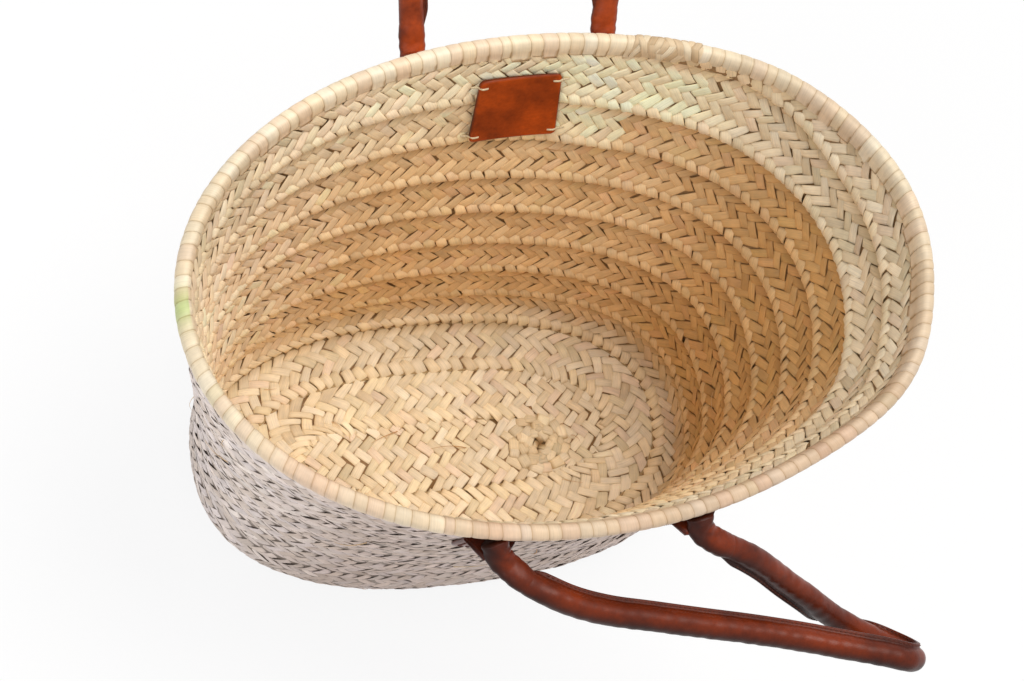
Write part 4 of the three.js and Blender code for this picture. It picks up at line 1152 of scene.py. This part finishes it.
def add_seam_stitches(name, line, along, width, depth):
    """Stitches along both faces of the fin."""
    parts = Parts()
    places = np.linspace(-1, 1, 5)
    turn = STITCH_TURN[:, None]
    for spot in np.arange(SLEEVE_END + 9, along[-1] - SLEEVE_END - 9, SEAM_PITCH):
        for face in (-1, 1):
            rings = []
            for t in places:
                at = spot + t * SEAM_HALF
                w, d = unit(sample(at, along, width)), unit(sample(at, along, depth))
                rise, size = 0.28 * (1 - t * t), stitch_size(SEAM_SIZE, t)
                middle = sample(at, along, line) + w * (HANDLE_RADIUS + SEAM_OUT)
                middle = middle + d * face * (FIN_HALF + rise)
                rings.append(middle + w * size * np.cos(turn) + d * size * np.sin(turn))
            parts.add(rings, tube_faces(len(places), len(turn)))
    parts.piece(f"{name}_seam_stitches", dark_thread, name, [f"{name}_seam_thread"], "dark_thread")


def add_handle(name, side):
    fold = fold_line(side)
    line, along = smooth_route(back_route(fold) if side > 0 else front_route(fold))
    tangent, width, depth = route_frames(line, fold["axis"], None if side > 0 else FRONT_FIN_TURN)
    add_cover(name, side, fold["up"], line, along, tangent, width, depth)
    add_seam_stitches(name, line, along, width, depth)
    fold["route"] = (line, along, width)
    return fold


HANDLES = (("front_handle", -1), ("back_handle", 1))
folds = {name: add_handle(name, side) for name, side in HANDLES}

# Tabs sewn to the wall; the bead is the half round at the fold
TAB_WIDTH, TAB_LENGTH, TAB_THICKNESS, TAB_GAP, TAB_TOP, BEAD = 32.0, 44.0, 3.0, 0.3, 16.0, 2.4
TAB_COLUMNS, TAB_LEVELS, TAB_CORNER, EDGE_SHADE = 15, 9, 7.0, 0.6


def add_tab(name, from_middle, side, fold):
    x = fold["shift"] + from_middle
    wall = PLAIT_THICKNESS / 2 + TAB_GAP + 0.5
    face = wall + TAB_THICKNESS - 0.5
    depth = TAB_TOP + TAB_LENGTH
    top = TAB_TOP + TAB_THICKNESS + 0.9
    levels = np.linspace(0, 1, TAB_LEVELS)
    turn = np.linspace(0, math.pi, TAB_LEVELS)[:, None]
    roll = BEAD * (fold["up"] * np.cos(turn) + fold["outward"] * np.sin(turn))
    rings = []
    for share in np.linspace(-0.5, 0.5, TAB_COLUMNS):
        # The lower corners are rounded
        room = TAB_WIDTH / 2 - abs(share) * TAB_WIDTH
        cut = TAB_CORNER - math.sqrt(max(TAB_CORNER ** 2 - max(TAB_CORNER - room, 0) ** 2, 0))
        edge = 0.35 if abs(share) > 0.49 else 0.0
        at = x + share * TAB_WIDTH
        inner = wall_spot(at, side, depth - cut - levels * (depth - cut - TAB_TOP), wall + edge)
        bead = fold["middle"] + fold["axis"] * (from_middle + share * 2 * NECK_HALF_WIDTH)
        outer = wall_spot(at, side, top + levels * (depth - cut - top), face - edge)
        rings.append(np.concatenate([inner, bead + roll, outer]))
    shape = (TAB_COLUMNS, 3 * TAB_LEVELS)
    # Painted light and shade of the handle, with darker edges
    tint = np.ones((*shape, 3)) * HANDLE_LIGHT_AND_SHADE[side]
    tint[[0, -1]] *= EDGE_SHADE
    tint[:, [0, -1]] *= EDGE_SHADE
    parts = Parts()
    parts.add(rings, tube_faces(*shape), tint)
    parts.piece(f"{name}_leather", leather, "basket", [name], "leather")

    # Stitches in a U round the lower part
    edge, low = TAB_WIDTH / 2 - TAB_STITCH_INSET, depth - TAB_STITCH_INSET
    high = TAB_TOP + TAB_THICKNESS + TAB_STITCH_INSET
    upright = np.arange(high, low - 1.5, TAB_STITCH_PITCH)
    spots = [(-edge, below, False) for below in upright]
    spots += [(across, low, True) for across in np.arange(-edge + 3, edge - 2, TAB_STITCH_PITCH)]
    spots += [(edge, below, False) for below in upright]
    places = np.linspace(-1, 1, 4)
    parts = Parts()
    for across, below, lies_across in spots:
        rings = []
        for t in places:
            size = stitch_size(TAB_STITCH_SIZE, t)
            ahead, beside = TAB_STITCH_HALF * t, size * np.cos(STITCH_TURN)
            more, deeper = (ahead, beside) if lies_across else (beside, ahead)
            out = face + 0.2 + 0.3 * (1 - t * t) + size * np.sin(STITCH_TURN)
            rings.append(wall_spot(x + across + more, side, below + deeper, out))
        parts.add(rings, tube_faces(len(places), len(STITCH_TURN)))
    parts.piece(f"{name}_stitches", dark_thread, "basket", [f"{name}_thread"], "dark_thread")


def add_sleeve(name, from_middle, side, fold):
    """Leather turned round the fold: from under the rim, round the hinge and over the neck."""
    line, along, width = fold["route"]
    distance = along if from_middle < 0 else along[-1] - along
    order = np.argsort(distance)
    line, width, distance = line[order], width[order], distance[order]
    bead = fold["middle"] + fold["axis"] * from_middle
    under_rim = wall_spot(fold["shift"] + from_middle, side, TAB_TOP - 8.5, PLAIT_THICKNESS / 2 + 3.4)
    neck = sample(np.array(SLEEVE_KNOTS), distance, line)
    turning = bead * FOLD_SHARE + (under_rim + neck[1]) * (1 - FOLD_SHARE) / 2
    curve, length = smooth_route(np.array([under_rim, turning, *neck[1:]]), SLEEVE_STEP)
    tangent = unit(np.gradient(curve, axis=0))
    at_bead = length[np.argmin(np.linalg.norm(curve - turning, axis=-1))]
    turn = np.linspace(0, 2 * math.pi, SLEEVE_POINTS, endpoint=False)
    rings, tints = [], []
    for i in range(len(curve)):
        at = length[i]
        past = max(at - at_bead, 0.0)
        share = smoothstep(np.array(past), 2.0, ROUND_START)
        fade = 1 - share
        w = sample(past, distance + NECK_GAP, width)
        w = unit(w * np.sign(w @ fold["axis"]))
        w = unit(w - tangent[i] * (w @ tangent[i]))
        d = unit(np.cross(tangent[i], w))
        # The end of the sleeve runs down into the handle
        left = length[-1] - at
        cover = 0.8 * smoothstep(left, 2.0, 11.0) - 0.5 * (1 - smoothstep(left, 0.0, 4.0))
        half_width = SLEEVE_HALF_WIDTH + (HANDLE_RADIUS + cover - SLEEVE_HALF_WIDTH) * share
        half_depth = SLEEVE_HALF_THICKNESS + (HANDLE_RADIUS + cover - SLEEVE_HALF_THICKNESS) * share
        wrinkle = 1 + fade * (0.05 * np.sin(turn * 3 + at * 0.3) + 0.03 * np.sin(turn * 5 - at * 0.7))
        x = half_width * np.cos(turn) * (1 + 0.03 * fade * np.sin(at * 0.9))
        y = half_depth * np.sin(turn) * wrinkle
        around = np.outer(x, w) + np.outer(y, d)
        rings.append(curve[i] + pressed(around, tangent[i], fold["up"], past + NECK_GAP))
        # Painted shade in a crease of the turned leather, and painted shadow under the rim where the sleeve
        # starts
        crease = 1 - 0.35 * fade * np.exp(-((np.mod(turn + 0.06 * at, 2 * math.pi) - 2.2) / 0.3) ** 2)
        shade = leather_shade(around, side) * crease * (0.85 + 0.15 * smoothstep(at, 3.0, at_bead + 8.0))
        tints.append(shade[:, None] * HANDLE_LIGHT_AND_SHADE[side])
    parts = Parts()
    parts.add(rings, tube_faces(len(rings), SLEEVE_POINTS), tints)
    sleeve = parts.piece(name, leather, None, (), "leather")
    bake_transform(sleeve)


for name, side in HANDLES:
    for word, from_middle in (("left", -HANDLE_SPACING / 2), ("right", HANDLE_SPACING / 2)):
        add_tab(f"{name}_{word}_tab", from_middle, side, folds[name])
        add_sleeve(f"{name}_{word}_sleeve", from_middle, side, folds[name])

# Label on the back wall
LABEL_POINTS, LABEL_CORNER, LABEL_TINT = 33, 4.0, np.array([1.9, 2.0, 1.2])
# Corner stitches: distance from the label's corner, half length, thickness along the wall and out of it
LABEL_STITCH_INSET, LABEL_STITCH_HALF, LABEL_STITCH_SIZE = 6.0, 6.0, (0.85, 0.55)


def label_spot(across, rise, inward):
    across, rise, inward = np.broadcast_arrays(across, rise, inward)
    across = across + LABEL_SPREAD * (0.5 + across / LABEL_WIDTH) * (0.5 - rise / LABEL_HEIGHT)
    x = LABEL_MIDDLE + across * math.cos(LABEL_TILT) - rise * math.sin(LABEL_TILT)
    lift = across * math.sin(LABEL_TILT) + rise * math.cos(LABEL_TILT)
    return wall_spot(x, 1, LABEL_TOP + LABEL_HEIGHT / 2 - lift, -PLAIT_THICKNESS / 2 - LABEL_GAP - inward)


def add_label():
    n = LABEL_POINTS
    even = np.linspace(-1, 1, n)
    u = 0.5 * np.sin(even * math.pi / 2) + 0.5 * even
    across, rise = np.meshgrid(u * LABEL_WIDTH / 2, u * LABEL_HEIGHT / 2, indexing="ij")
    room = np.minimum(LABEL_WIDTH / 2 - np.abs(across), LABEL_HEIGHT / 2 - np.abs(rise))
    # Points in the corners are pulled onto the rounded outline
    cx, cy = LABEL_WIDTH / 2 - LABEL_CORNER, LABEL_HEIGHT / 2 - LABEL_CORNER
    dx, dy = np.maximum(np.abs(across) - cx, 0), np.maximum(np.abs(rise) - cy, 0)
    far = np.hypot(dx, dy)
    pull = np.where(far > 1e-6, np.maximum(dx, dy) / np.maximum(far, 1e-6), 1)
    across = np.sign(across) * (np.minimum(np.abs(across), cx) + dx * pull)
    rise = np.sign(rise) * (np.minimum(np.abs(rise), cy) + dy * pull)
    bevel = 0.7 * (1 - np.clip(room / 1.4, 0, 1)) ** 2
    pillow = 0.25 * smoothstep(room, 0, 9)
    standing = LABEL_LEFT_LIFT * (0.5 - across / LABEL_WIDTH)
    front = label_spot(across, rise, LABEL_THICKNESS - bevel + pillow - 0.25 + standing)
    back = label_spot(across, rise, np.zeros_like(across))
    top = grid_faces(n, n)
    faces = top.tolist() + (top[:, ::-1] + n * n).tolist()
    last = n - 1
    border = ([(0, j) for j in range(last)] + [(i, last) for i in range(last)]
              + [(last, j) for j in range(last, 0, -1)] + [(i, 0) for i in range(last, 0, -1)])
    ids = [i * n + j for i, j in border]
    faces += [[a, a + n * n, b + n * n, b] for a, b in zip(ids, ids[1:] + ids[:1])]
    tint = np.where(room < 0.8, 0.62, 1.0)[..., None] * LABEL_TINT
    parts = Parts()
    parts.add([front, back], faces, [tint, tint * 0.5])
    parts.piece("label_patch", leather, "basket", ["label"], "leather")


def add_label_stitch(name, across_side, rise_side):
    rise = rise_side * (LABEL_HEIGHT / 2 - LABEL_STITCH_INSET)
    t = np.linspace(-1, 1, 9)
    turn = np.linspace(0, 2 * math.pi, 8, endpoint=False)
    at = across_side * (LABEL_WIDTH / 2 - t * LABEL_STITCH_HALF)
    high = LABEL_THICKNESS + LABEL_LEFT_LIFT * (across_side < 0)
    inward = high * (0.45 + 0.5 * np.tanh(t * 5)) + 0.5 * (1 - t ** 4)
    flat, deep = LABEL_STITCH_SIZE
    rings = label_spot(at[:, None], rise + flat * np.cos(turn), inward[:, None] + deep * np.sin(turn))
    parts = Parts()
    parts.add(rings, tube_faces(len(t), len(turn)))
    parts.piece(f"{name}_yarn", pale_thread, "basket", [name], "pale_thread")


add_label()
for rise_side, row in ((1, "top"), (-1, "bottom")):
    for across_side, column in ((-1, "left"), (1, "right")):
        add_label_stitch(f"label_stitch_{row}_{column}", across_side, rise_side)

# Solids of the frame that stay, hidden inside the weave and the leather
for node in ("lacing_cord", "rim_core", "front_handle_rope", "back_handle_rope"):
    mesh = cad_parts[node].data
    mesh.materials.clear()
    mesh.materials.append(cord_palm)

# Floor and backdrop: their own colour lights the basket, and the camera sees them white
WHITE, FLOOR_COLOUR, FLOOR_ROUGHNESS, FLOOR_WHITE_SHARE = (1, 1, 1, 1), (0.86, 0.86, 0.86, 1), 0.9, 0.86
FLOOR_HALF, FLOOR_LEVEL = 6, -0.0005
SKY_COLOUR, SKY_STRENGTH = (0.93, 0.95, 1.0, 1), 0.56


def white_where_seen(tree, plain, glow, share, output):
    """Mixes white light into a shader for camera rays, reflections and what is seen through glass."""
    ray = tree.node("LightPath").outputs
    seen = ray["Is Camera Ray"]
    for word in ("Is Glossy Ray", "Is Transmission Ray"):
        seen = tree.maths("MAXIMUM", seen, ray[word])
    mix = tree.node("MixShader", {"Fac": tree.maths("MULTIPLY", seen, share), 1: plain, 2: glow})
    tree.feed(tree.nodes[output], {"Surface": mix.outputs["Shader"]})


floor_material, tree, shader = new_material("floor")
tree.feed(shader, {"Base Color": FLOOR_COLOUR, "Roughness": FLOOR_ROUGHNESS})
glow = tree.node("Emission", {"Color": WHITE}).outputs["Emission"]
white_where_seen(tree, shader.outputs["BSDF"], glow, FLOOR_WHITE_SHARE, "Material Output")
floor_mesh = bpy.data.meshes.new("floor")
corners = [(x * FLOOR_HALF, y * FLOOR_HALF, FLOOR_LEVEL) for x, y in ((-1, -1), (1, -1), (1, 1), (-1, 1))]
floor_mesh.from_pydata(corners, [], [(0, 1, 2, 3)])
floor_mesh.materials.append(floor_material)
floor = place_object("floor", floor_mesh)

world = bpy.data.worlds.new("studio")
bpy.context.scene.world = world
world.use_nodes = True
tree = Shading(world.node_tree)
sky = tree.nodes["Background"]
tree.feed(sky, {"Color": SKY_COLOUR, "Strength": SKY_STRENGTH})
backdrop = tree.node("Background", {"Color": WHITE}).outputs["Background"]
white_where_seen(tree, sky.outputs["Background"], backdrop, 1.0, "World Output")


def add_light(name, kind, direction, place=(0, 0, 0), **settings):
    light = bpy.data.lights.new(name, kind)
    for setting, value in settings.items():
        setattr(light, setting, value)
    turned = Vector(direction).to_track_quat("-Z", "Y").to_matrix().to_4x4()
    place_object(name, light).matrix_world = Matrix.Translation(place) @ turned


add_light("key", "SUN", (-0.34, -0.08, -1.0), energy=2.0, angle=math.radians(34),
          color=(1.0, 0.965, 0.91))
add_light("fill", "AREA", (1.6, 1.2, -1.7), (-1.6, -1.2, 1.9), shape="DISK", size=1.6, energy=14,
          color=(0.95, 0.97, 1.0))

# Camera, from the photograph's perspective
CAMERA_PLACE = Vector((-0.474102, -0.546030, 1.726377))
CAMERA_RIGHT = Vector((0.952879, -0.199901, 0.228170))
CAMERA_UP = Vector((0.105497, 0.923589, 0.368584))
SENSOR_WIDTH, CAMERA_LENS = 36.0, 83.69
camera_data = bpy.data.cameras.new("camera")
camera_data.sensor_width = SENSOR_WIDTH
camera_data.lens = CAMERA_LENS
camera = place_object("camera", camera_data)
rotation = Matrix((CAMERA_RIGHT, CAMERA_UP, CAMERA_RIGHT.cross(CAMERA_UP))).transposed().to_4x4()
camera.matrix_world = Matrix.Translation(CAMERA_PLACE) @ rotation
bpy.context.scene.camera = camera
bpy.context.scene.view_settings.view_transform = "Standard"
